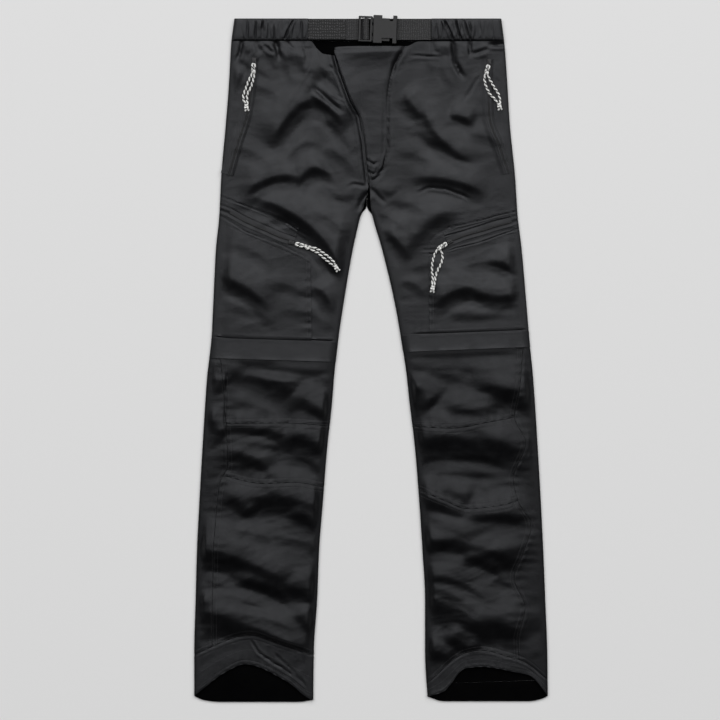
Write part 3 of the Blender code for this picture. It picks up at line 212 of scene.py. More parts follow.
# Finer folds and creases, added on top of the main ones. Same columns
CREASES = [
    (-132, 55, -96, 60, -3, 4.2, 12, 14),
    (-50, 46, 46, 44, 0, 3.2, 5, 16),
    (-224, 74, -196, 86, 0, 4.0, 10, 24),
    (-160, 46, -134, 52, 0, 2.6, 6, 12),
    (-245, 517, -50, 523, 0, 1.8, 26, 9),
    (50, 510, 243, 502, 0, 1.8, 26, 9),
    (-194, 42, -150, 41, -2, 2.6, 6, 18),
    (100, 44, 120, 42, -2, 2.0, 6, 12),
    (84, 802, 226, 752, -6, 3.6, 24, 18),
    (98, 846, 238, 792, -6, 4.6, 26, 20),
    (92, 944, 240, 896, -6, 4.6, 26, 20),
    (-186, 850, -80, 856, -6, 4.6, 24, 22),
    (-118, 892, -82, 924, -3, 3.0, 16, 14),
    (-250, 528, -196, 530, 2, 2.6, 12, 10),
    (-150, 528, -66, 532, 2, 2.8, 12, 12),
    (60, 528, 130, 526, 2, 2.4, 12, 9),
    (120, 596, 226, 540, 12, 4.6, 24, 20),
    (54, 540, 78, 600, -4, 4.0, 18, 16),
    (130, 528, 238, 520, 2, 2.6, 12, 12),
    (-100, 592, -62, 610, -4, 2.6, 16, 14),
    (-204, 60, -150, 92, -4, 1.6, 14, 7),
    (-196, 96, -140, 116, -4, 1.3, 14, 7),
    (-130, 40, -118, 96, 3, 1.5, 9, 6),
    (-106, 44, -98, 84, 2, 1.2, 8, 5),
    (-150, 40, -146, 78, 2, 1.2, 8, 5),
    (-176, 40, -174, 66, 1, 1.0, 7, 5),
    (-78, 74, -60, 124, -4, 1.6, 10, 6),
    (-70, 150, -28, 206, -8, 1.8, 14, 8),
    (-64, 196, -22, 238, -7, 1.8, 14, 8),
    (-60, 262, -18, 262, 6, 1.6, 14, 7),
    (-130, 210, -86, 186, -6, 1.6, 12, 7),
    (-206, 196, -150, 222, -6, 1.4, 14, 8),
    (-178, 318, -120, 300, -4, 1.2, 10, 6),
    (-86, 292, -34, 330, -6, 2.0, 15, 8),
    (-216, 340, -150, 372, -6, 1.6, 18, 9),
    (-150, 400, -96, 420, -5, 1.6, 16, 8),
    (-212, 432, -150, 458, -4, 1.4, 16, 8),
    (-130, 440, -60, 464, -5, 1.4, 16, 8),
    (-80, 360, -46, 388, -4, 1.6, 12, 7),
    (-190, 540, -150, 556, -3, 1.4, 12, 7),
    (-110, 534, -60, 552, -4, 1.4, 12, 7),
    (-206, 580, -140, 602, -4, 1.6, 14, 8),
    (-190, 644, -140, 652, -3, 1.5, 12, 7),
    (-118, 666, -74, 684, -4, 1.6, 12, 7),
    (-210, 776, -150, 790, -4, 2.0, 15, 8),
    (-150, 786, -80, 806, -6, 2.2, 15, 8),
    (-256, 852, -214, 868, -3, 1.6, 12, 7),
    (-230, 872, -160, 896, -5, 2.0, 14, 8),
    (-190, 904, -120, 926, -5, 1.8, 13, 7),
    (-170, 934, -110, 952, -3, 1.6, 12, 7),
    (110, 60, 122, 100, 3, 1.5, 9, 6),
    (140, 40, 146, 84, 2, 1.4, 8, 5),
    (88, 42, 92, 76, 2, 1.2, 8, 5),
    (170, 40, 170, 60, 1, 1.0, 7, 5),
    (60, 160, 120, 190, 6, 1.6, 14, 8),
    (150, 174, 200, 190, -4, 1.4, 14, 8),
    (40, 200, 90, 216, -4, 1.4, 14, 8),
    (4, 250, 40, 262, 5, 1.6, 12, 7),
    (30, 276, 84, 292, -5, 1.6, 14, 8),
    (14, 296, 50, 318, -4, 1.8, 12, 7),
    (60, 380, 110, 372, -4, 1.4, 14, 8),
    (140, 376, 190, 368, -4, 1.6, 14, 8),
    (110, 444, 210, 440, 5, 1.5, 15, 8),
    (50, 396, 84, 420, -4, 1.6, 12, 7),
    (100, 540, 150, 556, -4, 1.5, 13, 7),
    (200, 528, 244, 548, -3, 1.5, 12, 7),
    (80, 604, 120, 612, -3, 1.4, 12, 7),
    (120, 664, 200, 672, -5, 1.8, 14, 8),
    (100, 690, 190, 694, -4, 1.6, 13, 7),
    (170, 712, 226, 706, -3, 1.4, 12, 7),
    (90, 760, 150, 776, -4, 1.9, 13, 8),
    (186, 850, 216, 862, -2, 1.6, 11, 7),
    (90, 862, 140, 884, -4, 2.0, 13, 8),
    (176, 884, 226, 900, -3, 1.8, 12, 7),
    (100, 944, 128, 956, -2, 1.4, 10, 6),
]

# Narrow valleys pressed or pulled into the front, or ridges where the depth is below 0: width, depth of
# the valley, then its line of x, depth
VALLEYS = [
    (2.4, 2.2, [(-196, 34), (-200, 54), (-206, 68)]),
    (3.4, 3.2, [(-146, 34), (-142, 48), (-138, 66)]),
    (5.0, 2.2, [(-178, 36), (-170, 46), (-160, 50)]),
    (2.4, 1.4, [(-166, 38), (-152, 50), (-142, 53)]),
    (2.2, 1.2, [(-130, 35), (-120, 45), (-112, 49)]),
    (2.4, 1.2, [(-184, 36), (-182, 50), (-186, 58)]),
    (2.2, 1.0, [(-104, 36), (-98, 58), (-100, 76)]),
    (1.6, 0.9, [(-113, 46), (-84, 46)]),
    (2.0, 0.8, [(-66, 72), (-56, 78), (-48, 88)]),
    (2.8, 2.8, [(124, 35), (127, 66), (142, 96)]),
    (2.4, 2.4, [(150, 35), (151, 62)]),
    (2.4, 1.7, [(154, 54), (168, 50), (181, 44)]),
    (1.7, 1.1, [(164, 88), (150, 112), (137, 131)]),
    (1.6, 1.0, [(62, 56), (88, 58), (110, 57)]),
    (2.2, 1.0, [(92, 35), (96, 50), (108, 53)]),
    (2.4, 1.6, [(54, 40), (36, 68), (31, 92)]),
    (1.7, 0.9, [(72, 265), (87, 257), (113, 259), (138, 268), (155, 277)]),
    (2.0, 1.0, [(24, 222), (15, 237), (0, 249)]),
    (3.6, 2.6, [(-4, 264), (-14, 278), (-20, 296)]),
    (2.2, 1.2, [(0, 258), (14, 274), (24, 284)]),
    (2.0, 1.0, [(-8, 255), (-26, 252), (-38, 258)]),
    (2.6, 2.5, [(-63, 34), (-50, 81), (-34, 125), (-20, 150), (-13, 188), (-10, 218), (-5, 262)]),
    (0.9, 0.7, [(-232, 269), (-188, 286), (-137, 305), (-110, 323), (-85, 337)]),
    (0.9, 0.6, [(-232, 298), (-189, 324.5), (-137, 344), (-96, 364)]),
    (1.0, 0.7, [(-233, 282), (-216, 288), (-204, 293)]),
    (1.5, 0.9, [(-233, 290), (-215, 297), (-190, 311), (-160, 324), (-140, 333), (-117, 341)]),
    (0.9, 0.7, [(229, 291.5), (194, 299), (175, 305), (146, 312), (117, 318), (100, 328), (90, 338),
                (87, 350), (80, 358)]),
    (0.9, 0.6, [(230, 297.5), (187, 308), (141, 323), (108, 332), (96, 346)]),
    (0.9, 0.6, [(232, 317), (199, 328), (164, 341), (129, 349), (110, 356)]),
    (1.5, 0.9, [(231, 304), (213, 311), (187, 318), (172, 323), (141, 332), (116, 342)]),
    (1.0, 1.0, [(-246, 484.3), (-20, 491.3)]),
    (1.0, 1.0, [(246, 472.4), (60, 480.0)]),
    (1.2, -0.8, [(-90, 74), (-110, 105), (-129, 137)]),
    (1.2, -0.9, [(-60, 116), (-50, 122), (-38, 127)]),
    (3.4, 2.2, [(-86, 106), (-58, 131), (-38, 147)]),
    (1.0, -0.5, [(-83, 34), (-76, 66)]),
    (1.4, 1.1, [(-182, 946), (-172, 963), (-157, 974), (-133, 989), (-115, 1000), (-95, 1018)]),
    (1.2, 0.8, [(-147, 966), (-128, 983), (-106, 1004), (-96, 1020)]),
    (1.4, 0.7, [(78, 352), (104, 351)]),
    (1.2, 0.6, [(84, 358), (106, 358)]),
    (1.6, 1.3, [(48, 50), (37, 68), (30, 90), (26, 116), (26, 200), (18, 229), (2, 243)]),
    (2.6, 2.2, [(180, 40), (212, 39)]),
    (2.0, 1.2, [(-10, 214), (4, 222), (14, 216)]),
    (1.8, 1.1, [(-8, 232), (4, 237), (12, 228)]),
    (0.9, 0.4, [(-15, 86), (-14, 150)]),
    (1.8, 0.9, [(-219, 540), (-222, 613), (-218, 640)]),
]

# Pieces that lie on a front. Centre lines and outlines are x, depth unless they say depth, x
TAPE_THICK = 1.2
FLAP_THICK = 1.5
HAND_ZIP_WIDE = 9.0
RIGHT_HAND_ZIP = [(-178, 60), (-181, 100), (-187, 141), (-202, 190), (-216, 238)]
LEFT_HAND_ZIP = [(179, 62), (178, 100), (180, 150), (194, 192), (209, 235)]
THIGH_ZIP_WIDE = 13.0
RIGHT_THIGH_ZIP = [(-215, 295), (-190, 309), (-160, 322), (-140, 331), (-117, 339)]
LEFT_THIGH_ZIP = [(116, 340), (141, 330), (172, 321), (187, 316), (213, 309)]
RIGHT_WELT_WIDE = 15.0
LEFT_WELT_WIDE = 9.0


def metres(points):
    """Points of x, depth, height in millimetres as points of the frame."""
    points = np.asarray(points, float)
    return np.stack([points[..., 0], WAIST_Y - points[..., 1], points[..., 2]], -1) * MM


def points_at(x, depth, height):
    """Points of x, depth and height, each a number or an array, brought to one shape."""
    return np.stack(np.broadcast_arrays(x, depth, height), -1).astype(float)


def run_of(points):
    """How far along a line of points each of them lies."""
    return np.concatenate([[0], np.cumsum(np.linalg.norm(np.diff(points, axis=0), axis=1))])


def unit(vectors):
    return vectors / np.maximum(np.linalg.norm(vectors, axis=-1, keepdims=True), 1e-9)


def ease(part):
    """0 to 1 with soft ends, for a part of the way."""
    part = np.clip(part, 0.0, 1.0)
    return part * part * (3 - 2 * part)


def mix(a, b, part):
    """A part of the way from a to b."""
    return a + (b - a) * part


# Smooth noise for the small wrinkles: one fixed lattice of slopes, so each run gives the same cloth
LATTICE = np.random.default_rng(41).uniform(0, 2 * np.pi, 4096)


def noise(u, v, layer=0):
    """Smooth values from about -1 to 1."""
    iu, iv = np.floor(u).astype(int), np.floor(v).astype(int)
    fu, fv = u - iu, v - iv
    total = 0.0
    for du in (0, 1):
        for dv in (0, 1):
            angle = LATTICE[((iu + du) * 73 + (iv + dv) * 179 + layer * 997) % 4096]
            slope = np.cos(angle) * (fu - du) + np.sin(angle) * (fv - dv)
            weight = (ease(fu) if du else 1 - ease(fu)) * (ease(fv) if dv else 1 - ease(fv))
            total = total + slope * weight
    return total * 1.4


def folds_of(table, x, depth, floor, trough, sharp):
    """Height of a table of folds, as a soft maximum, less the trough at the foot of each."""
    total = np.zeros_like(x)
    below = np.zeros_like(x)
    for x0, d0, x1, d1, bow, height, soft, steep in table:
        run = np.array([x1 - x0, d1 - d0], float)
        length = np.hypot(*run)
        u, v = x - x0, depth - d0
        along = (u * run[0] + v * run[1]) / length ** 2
        across = (run[0] * v - run[1] * u) / length - bow * 4 * along * (1 - along)
        side = np.where(across > 0, max(sharp * steep, floor), max(soft, floor))
        ends = ease((along + 0.2) / 0.45) * ease((1.2 - along) / 0.45)
        near = (along > -0.2) & (along < 1.2) & (np.abs(across) < 4 * side)
        bump = np.where(near, height * ends * np.exp(-(across / side) ** 2), 0.0)
        total += bump ** 3
        foot = (across - 2.0 * steep) / (0.6 * steep)
        below += np.where(near, trough * height * ends * np.exp(-foot ** 2), 0.0)
    return total ** (1 / 3) - np.minimum(below, 1.2)


def valleys(x, depth):
    """Depth of the narrow valleys below the cloth around them."""
    total = np.zeros_like(x)
    for width, deep, line in VALLEYS:
        line = np.array(line, float)
        starts = run_of(line)
        low, high = line.min(0) - 3 * width, line.max(0) + 3 * width
        near = (x > low[0]) & (x < high[0]) & (depth > low[1]) & (depth < high[1])
        if not near.any():
            continue
        u, v = x[near], depth[near]
        off, at = np.full(u.shape, np.inf), np.zeros(u.shape)
        for place, run, start, length in zip(line, np.diff(line, axis=0), starts, np.diff(starts)):
            t = np.clip(((u - place[0]) * run[0] + (v - place[1]) * run[1]) / length ** 2, 0, 1)
            gap = np.hypot(u - place[0] - t * run[0], v - place[1] - t * run[1])
            at = np.where(gap < off, start + t * length, at)
            off = np.minimum(off, gap)
        ends = ease(0.3 + at / 6) * ease((starts[-1] - at) / min(0.4 * starts[-1], 20.0))
        ridge = 0.35 * np.exp(-((off - 2.4 * width) / (1.2 * width)) ** 2)
        total[near] += deep * ends * (np.exp(-(off / width) ** 2) - ridge)
    return total


def wrinkles(x, depth):
    """Small soft wrinkles, longer across the leg than down it."""
    bend = 18 * noise(x / 90, depth / 80, 1)
    slant = np.where(x < 0, 0.30, 0.18)
    v = depth + slant * x + bend
    broad = noise(x / 62, v / 22, 2)
    narrow = noise(x / 30, v / 11, 3)
    crease = 1 - np.abs(noise(x / 48, v / 15, 4)) * 2.2
    place = 0.55 + 0.45 * noise(x / 120, depth / 120, 5)
    return 0.75 * broad + 0.3 * narrow + 0.45 * np.clip(crease, 0, 1) ** 3 * place


class Leg:
    """One side of the trousers: its edges and the height of its cloth."""

    def __init__(self, outer, inner, zip_top, hem_top):
        self.outer, self.inner, self.zip_top, self.hem_top = outer, inner, zip_top, hem_top

    def calm(self, x, depth, fade, zip_calm=None, zip_fade=ZIP_FADE, band_fade=BAND_FADE):
        """1 where folds may stand, falling to 0 at the edges, at the waistband and, with zip_calm, along
        the zip-off line."""
        part = ease((np.abs(x - self.outer(depth)) - ROUND / 2) / fade)
        inside = ease((np.abs(x - self.inner(depth)) - ROUND / 2) / fade)
        part = part * mix(1.0, inside, ease((depth - CROTCH + fade) / fade))
        if zip_calm is not None:
            off = np.abs(depth - (self.zip_top(x) + ZIP_TAPE / 2))
            part = part * ease((off - zip_calm) / zip_fade)
        return part * ease((depth - BAND_BOTTOM) / band_fade)

    def height(self, x, depth):
        """Height of the front: folds, creases and wrinkles over the layers, less the valleys."""
        x, depth = np.broadcast_arrays(np.asarray(x, float), np.asarray(depth, float))
        lower = ease((depth - LOWER_TOP) / 40)
        above_hem = 1 - 0.9 * ease((depth - self.hem_top(x) + 9) / 12)
        main = folds_of(FOLDS, x, depth, FOLD_FLOOR, TROUGH, FOLD_SHARP)
        main = main * self.calm(x, depth, mix(FADE, LOWER_FADE, lower), ZIP_CALM)
        fine = folds_of(CREASES, x, depth, CREASE_FLOOR, TROUGH, CREASE_SHARP)
        fine = fine * self.calm(x, depth, mix(10.0, 7.0, lower), band_fade=7.0)
        small = wrinkles(x, depth) * self.calm(x, depth, 10.0, 20.0, 12.0, 7.0)
        small = small * mix(0.6, 1.0, ease((depth - LOWER_TOP) / 60)) * (0.4 + 0.6 * above_hem)
        pressed = valleys(x, depth) * np.where(depth < 350, 1.0, self.calm(x, depth, 6.0, band_fade=1.0))
        return LAYERS + (FOLD_RISE * main + CREASE_RISE * fine) * above_hem + small - pressed

    def normal(self, x, depth):
        """Directions straight off the cloth."""
        step = SLOPE_STEP
        along_x = self.height(x + step, depth) - self.height(x - step, depth)
        along_depth = self.height(x, depth + step) - self.height(x, depth - step)
        return unit(points_at(-along_x, -along_depth, 2 * step))

    def cloth(self, x, depth, lift=0.0):
        """Points over (x, depth), moved along the cloth's normal by lift."""
        x, depth = np.broadcast_arrays(np.asarray(x, float), np.asarray(depth, float))
        here = points_at(x, depth, self.height(x, depth))
        return here + self.normal(x, depth) * np.asarray(lift)[..., None]


RIGHT = Leg(RIGHT_OUTER, RIGHT_INNER, RIGHT_ZIP, RIGHT_HEM_TOP)
LEFT = Leg(LEFT_OUTER, LEFT_INNER, LEFT_ZIP, LEFT_HEM_TOP)


def always(depth):
    """Roundness of a side where the leg is folded over all the way down."""
    return np.ones_like(depth)


def below_crotch(depth):
    """Roundness of an inner side: folded over from the crotch down."""
    return ease((depth - CROTCH + 5) / 20)


def inside_line(inner, by):
    """The inner side of a front: the fly's edge down to the crotch, then the inner edge."""
    return lambda depth: np.where(depth < inner.at[0], FLY_EDGE(depth) + by, inner(depth))


def seat_line(inner, by):
    """The inner side of a back: the seam between the backs, then the inner edge."""
    start, end = CROTCH - 4, CROTCH + 10

    def line(depth):
        below = ease((depth - start) / (end - start))
        return mix(SEAT_SEAM(depth) + by, inner(np.maximum(depth, end)), below)
    return line


def meet(line, top, bottom, part):
    """Where a side line lies at a part of the way from the top line to the bottom line."""
    depth = mix(top.value[0], bottom.value[0], part)
    for _ in range(8):
        x = line(depth)
        depth = mix(top(x), bottom(x), part)
    return line(depth), depth


def parts_of(length, step, first, last):
    """Parts of the way along a length in even steps, closer together by a seam at either end."""
    start = list(SEAM_STEPS) if first else [0.0]
    end = list(SEAM_STEPS) if last else [0.0]
    if start[-1] + end[-1] > length * 0.7:
        scale = length * 0.7 / (start[-1] + end[-1])
        start, end = [s * scale for s in start], [s * scale for s in end]
    room = length - start[-1] - end[-1]
    count = max(int(round(room / step)), 1)
    middle = [start[-1] + room * i / count for i in range(1, count)]
    return np.array(start + middle + [length - s for s in end[::-1]]) / length


def fold_over(angle, lift, half=HALF):
    """How far in from its line a folded edge lies, and how far from its middle height, round the fold."""
    across = ROUND - (ROUND + lift) * np.cos(angle)
    rise = (half + lift) * np.sin(angle) + GAP / 2 * (1 - np.sin(angle))
    return across, rise


class Grid:
    """The places of a panel's points: rows from its top line to its bottom line, columns from its west
    side to its east side, with the rounded edges where the cloth is folded over."""

    def __init__(self, top, bottom, sides, down, across):
        self.top, self.bottom = top, bottom
        down = np.asarray(down, float)
        across = np.asarray(across, float)
        self.part = down[:, None]
        blocks, ends = [], []
        for side, (line, roundness) in zip((1, -1), sides):
            edge, depth = meet(line, top, bottom, down)
            edge = edge[:, None]
            if roundness is None:
                blocks.append((edge, np.zeros(1), np.zeros_like(edge)))
            else:
                share = roundness(depth)[:, None]
                x = edge + side * mix(SQUARE, ROUND, share) * (1 - np.cos(EDGE_ANGLES))
                blocks.append((x, EDGE_ANGLES, np.broadcast_to(share, x.shape)))
            ends.append(edge)
        (west_x, west_angle, west_share), (east_x, east_angle, east_share) = blocks
        middle = mix(west_x[:, -1:], east_x[:, -1:], across[None, 1:-1])
        self.x = np.hstack([west_x, middle, east_x[:, ::-1]])
        self.share = np.hstack([west_share, np.zeros_like(middle), east_share[:, ::-1]])
        self.angle = np.concatenate([west_angle, np.zeros(middle.shape[1]), east_angle[::-1]])[None]
        self.side = np.where(np.arange(self.x.shape[1]) < west_x.shape[1], 1.0, -1.0)[None]
        self.west, self.east = ends
        self.edge = np.where(self.side > 0, self.west, self.east)
        self.depth = self.row_depth(self.x)

    def row_depth(self, x):
        """Depth of each row at x."""
        return mix(self.top(x), self.bottom(x), self.part)

    def over(self, leg, lift):
        """Points on the cloth of a leg's front, moved off it by lift."""
        across, rise = fold_over(self.angle, lift)
        rim_x = self.edge + self.side * across
        folds = leg.height(self.x, self.depth) - LAYERS
        rim = points_at(rim_x, self.row_depth(rim_x), HALF + rise + folds)
        return mix(leg.cloth(self.x, self.depth, lift), rim, self.share[..., None])

    def under(self, inset):
        """Points on the plain back, moved into it by inset."""
        across, rise = fold_over(self.angle, -inset)
        rim_x = self.edge + self.side * across
        rim = points_at(rim_x, self.row_depth(rim_x), HALF - rise)
        return mix(points_at(self.x, self.depth, inset), rim, self.share[..., None])


def seam_profile(off, along, seed):
    """Relief of a turned and topstitched seam, by the distance off it: the edge rolls down, the
    allowance swells it, the two stitch lines pull it in, and it puckers along its length."""
    wave = np.sin(2 * np.pi * along / 13 + 2.2 * noise(along / 37, seed, 6))
    wave = wave * (0.6 + 0.7 * noise(along / 50, seed + 0.5, 7))
    roll = -0.3 * np.exp(-off / 0.6)
    swell = 0.1 * np.exp(-((off - 4) / 3.2) ** 2)
    pulled = -0.14 * (np.exp(-((off - SEAM_STEPS[EDGE_STITCH]) / 0.6) ** 2)
                      + np.exp(-((off - SEAM_STEPS[SECOND_STITCH]) / 0.6) ** 2))
    return roll + swell + pulled + 0.5 * wave * np.exp(-off / 11) * ease(off / 1.5)


def seam_relief(grid, seams):
    """Relief along the sides of a panel that are seams: any of top, bottom, west and east."""
    x, depth = grid.x, grid.depth
    sides = [("top", depth - grid.top(x), x), ("bottom", grid.bottom(x) - depth, x),
             ("west", x - grid.west, depth), ("east", grid.east - x, depth)]
    total = np.zeros_like(x)
    for seed, (word, off, along) in enumerate(sides, 1):
        if word in seams:
            total = total + seam_profile(off, along, seed)
    return total


def placed(name, data):
    """An object of the scene that is no part of the frame."""
    made = bpy.data.objects.new(name, data)
    bpy.context.scene.collection.objects.link(made)
    return made


def keep(name, mesh, materials, slot):
    """A piece of the trousers, with its materials. Its slot is not used."""
    piece = placed(name, mesh)
    for material in materials:
        mesh.materials.append(material)
    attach(piece, "root")
    return piece


def build_mesh(name, points, faces, sharp=38.0):
    """A mesh of points in millimetres, faced outwards."""
    places = metres(points)
    mesh = bpy.data.meshes.new(name)
    tris = np.array([t for f in faces for t in ((f[0], f[1], f[2]), (f[0], f[2], f[-1]))])
    a, b, c = places[tris[:, 0]], places[tris[:, 1]], places[tris[:, 2]]
    volume = np.einsum("ij,ij->i", a, np.cross(b, c)).sum()
    if volume < 0:
        faces = [tuple(f)[::-1] for f in faces]
    mesh.from_pydata(places.tolist(), [], [tuple(int(i) for i in f) for f in faces])
    mesh.update()
    mesh.shade_smooth()
    mesh.set_sharp_from_angle(angle=math.radians(sharp))
    return mesh


def shell(name, outside, inside, ring=False):
    """A closed thin shell between two grids of points. Inner faces get the second material, which on the
    cloth is the near-black painted shade of its inside.
    """
    rows, columns = outside.shape[:2]
    points = np.concatenate([outside.reshape(-1, 3), inside.reshape(-1, 3)])
    index = np.arange(rows * columns).reshape(rows, columns)
    low = index + rows * columns
    if ring:
        index = np.hstack([index, index[:, :1]])
        low = np.hstack([low, low[:, :1]])

    def quads(a, b, c, d):
        return np.stack([a.ravel(), b.ravel(), c.ravel(), d.ravel()], 1)
    top = quads(index[:-1, :-1], index[1:, :-1], index[1:, 1:], index[:-1, 1:])
    bottom = quads(low[:-1, :-1], low[:-1, 1:], low[1:, 1:], low[1:, :-1])
    rims = [quads(index[0, :-1], index[0, 1:], low[0, 1:], low[0, :-1]),
            quads(index[-1, :-1], low[-1, :-1], low[-1, 1:], index[-1, 1:])]
    if not ring:
        rims += [quads(index[:-1, 0], low[:-1, 0], low[1:, 0], index[1:, 0]),
                 quads(index[:-1, -1], index[1:, -1], low[1:, -1], low[:-1, -1])]
    faces = np.concatenate([top, bottom] + rims)
    mesh = build_mesh(name, points, faces.tolist())
    inner = np.zeros(len(faces), np.int32)
    inner[len(top):len(top) + len(bottom)] = 1
    return mesh, inner


def cut_size(outside, ring=False):
    """Width, length and area of the cloth of a grid, laid out flat, in metres."""
    if ring:
        outside = np.concatenate([outside, outside[:, :1]], 1)
    across = np.linalg.norm(np.diff(outside, axis=1), axis=2)
    down = np.linalg.norm(np.diff(outside, axis=0), axis=2)
    wide, long = across.sum(1).max() * MM, down.sum(0).max() * MM
    a = outside[1:, 1:] - outside[:-1, :-1]
    b = outside[1:, :-1] - outside[:-1, 1:]
    area = np.linalg.norm(np.cross(a, b), axis=2).sum() / 2 * MM * MM
    return wide, long, min(area, wide * long)


def cloth_piece(name, outside, inside, materials, slot, node, ring=False, held="laid"):
    """A cloth shell that stands for a CAD node. The cut of its cloth is worked out but not kept."""
    mesh, inner = shell(name, outside, inside, ring)
    piece = keep(name, mesh, materials, slot)
    if len(materials) > 1:
        mesh.polygons.foreach_set("material_index", inner)
    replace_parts(piece, node)
    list(cut_size(outside, ring))


def along_line(points, step):
    """Even places along a line of points, and the directions there."""
    points = np.asarray(points, float)
    lengths = run_of(points)
    count = max(int(lengths[-1] / step), 1)
    at = (np.arange(count) + 0.5) * lengths[-1] / count
    row = np.clip(np.searchsorted(lengths, at, "right") - 1, 0, len(points) - 2)
    t = ((at - lengths[row]) / np.maximum(lengths[row + 1] - lengths[row], 1e-9))[:, None]
    return mix(points[row], points[row + 1], t), unit(points[row + 1] - points[row])


def frame_of(ahead):
    """Two directions across each direction, the second one as far up as it can be."""
    wide = unit(np.cross(ahead, np.array([0.0, 0.0, 1.0])))
    return wide, np.cross(wide, ahead)


# Machine stitches: short bars whose ends dip into the cloth
STITCHES = {}
STITCH_STEP = 3.0
STITCH_LONG = 2.3
STITCH_HALF = 0.26
STITCH_LIFT = 0.1
STITCH_SINK = 0.28
STITCH_SIDES = 5
STITCH_RINGS = [(-0.5, 0.45), (-0.3, 1.0), (0.3, 1.0), (0.5, 0.45)]     # place along it, share of width


def stitches(group, points):
    """Stitches along a line on the cloth, kept until their group is made."""
    STITCHES.setdefault(group, []).append(along_line(points, STITCH_STEP))


def make_stitches():
    """One mesh for each group of stitches."""
    sides = STITCH_SIDES
    count = sides * len(STITCH_RINGS)
    quads = [(low + k, low + (k + 1) % sides, low + sides + (k + 1) % sides, low + sides + k)
             for low in range(0, count - sides, sides) for k in range(sides)]
    caps = [range(sides), range(count - 1, count - 1 - sides, -1)]
    for group, lines in STITCHES.items():
        places, ahead = (np.concatenate(both) for both in zip(*lines))
        wide, up = frame_of(ahead)
        points = []
        for along, size in STITCH_RINGS:
            lift = STITCH_LIFT - (STITCH_SINK if size < 1 else 0.0)
            for k in range(sides):
                angle = 2 * np.pi * k / sides
                points.append(places + ahead * along * STITCH_LONG
                              + wide * STITCH_HALF * size * math.cos(angle)
                              + up * (STITCH_HALF * size * math.sin(angle) + lift))
        base = np.arange(len(places))[:, None] * count
        faces = [face for corners in quads + caps for face in (base + np.array(corners)).tolist()]
        mesh = bpy.data.meshes.new(group)
        mesh.from_pydata(metres(np.stack(points, 1).reshape(-1, 3)).tolist(), [], faces)
        mesh.update()
        mesh.shade_smooth()
        keep(group, mesh, [THREAD], "nylon")


# Materials
TINT = (0.93, 0.95, 1.0, 1.0)
CORD_PITCH = 7.5
CORD_WHITE = (0.88, 0.88, 0.86, 1)
CORD_BLACK = (0.012, 0.012, 0.013, 1)


class Look:
    """A material in the making, with short ways to add nodes to it."""

    def __init__(self, name):
        self.material = bpy.data.materials.new(name)
        self.material.use_nodes = True
        self.tree = self.material.node_tree
        self.surface = self.tree.nodes["Principled BSDF"]

    def feed(self, node, inputs):
        """Set the inputs of a node, or join them to an output of another one."""
        for name, value in inputs.items():
            if isinstance(value, bpy.types.NodeSocket):
                self.tree.links.new(value, node.inputs[name])
            else:
                node.inputs[name].default_value = value

    def add(self, kind, inputs, **settings):
        node = self.tree.nodes.new(kind)
        for name, value in settings.items():
            setattr(node, name, value)
        self.feed(node, inputs)
        return node

    def coords(self):
        return self.add("ShaderNodeTexCoord", {}).outputs["Object"]

    def maths(self, operation, *values):
        return self.add("ShaderNodeMath", dict(enumerate(values)), operation=operation).outputs[0]

    def noise(self, scale, detail, stretch=(1.0, 1.0, 1.0), rough=0.55):
        mapping = self.add("ShaderNodeMapping", {"Vector": self.coords(), "Scale": stretch})
        inputs = {"Vector": mapping.outputs["Vector"], "Scale": scale, "Detail": detail, "Roughness": rough}
        return self.add("ShaderNodeTexNoise", inputs).outputs["Fac"]

    def bands(self, scales, bends, detail):
        """Height of bands along X times that of bands along Y, with so many to the metre."""
        heights = []
        for axis, scale, bend in zip("XY", scales, bends):
            inputs = {"Vector": self.coords(), "Scale": scale, "Distortion": bend, "Detail": detail,
                      "Detail Scale": detail}
            heights.append(self.add("ShaderNodeTexWave", inputs, bands_direction=axis).outputs["Fac"])
        return self.maths("MULTIPLY", *heights)

    def ramp(self, value, *stops):
        node = self.add("ShaderNodeValToRGB", {"Fac": value})
        for element, (place, color) in zip(node.color_ramp.elements, stops):
            element.position = place
            element.color = (*color, 1.0)
        return node.outputs["Color"]

    def bump(self, height, distance, strength, **normal):
        inputs = {"Height": height, "Distance": distance, "Strength": strength, **normal}
        return self.add("ShaderNodeBump", inputs).outputs["Normal"]

    def finish(self, **inputs):
        """The material, with the inputs of its surface: an underscore stands for a space."""
        self.feed(self.surface, {name.replace("_", " "): value for name, value in inputs.items()})
        return self.material


def woven(name, dark, light, rough, weave, weave_depth, crinkle, sheen, specular=0.5):
    """Woven synthetic cloth: two close tones, threads, a fine crinkle and a soft sheen."""
    look = Look(name)
    shine = look.add("ShaderNodeMapRange", {
        "Value": look.noise(75.0, 3.0), "From Min": 0.3, "From Max": 0.7,
        "To Min": rough - 0.05, "To Max": rough + 0.06})
    threads = look.bump(look.bands((weave, weave), (1.2, 1.2), 1.0), weave_depth, 0.5)
    soft = look.noise(150.0, 3.0, (1.0, 1.35, 1.0))
    return look.finish(
        Base_Color=look.ramp(look.noise(26.0, 4.0), (0.3, dark), (0.72, light)),
        Roughness=shine.outputs["Result"], Specular_IOR_Level=specular, Specular_Tint=TINT,
        Sheen_Weight=sheen, Sheen_Roughness=0.45, Normal=look.bump(soft, crinkle, 0.5, Normal=threads))


def moulded(name, color, rough):
    """Moulded plastic with a fine spark-eroded grain."""
    look = Look(name)
    low, high = (tuple(share * c for c in color) for share in (0.85, 1.15))
    return look.finish(
        Base_Color=look.ramp(look.noise(240.0, 2.0), (0.3, low), (0.7, high)), Roughness=rough,
        Specular_IOR_Level=0.4, Normal=look.bump(look.noise(2600.0, 2.0), 0.00006, 0.35))


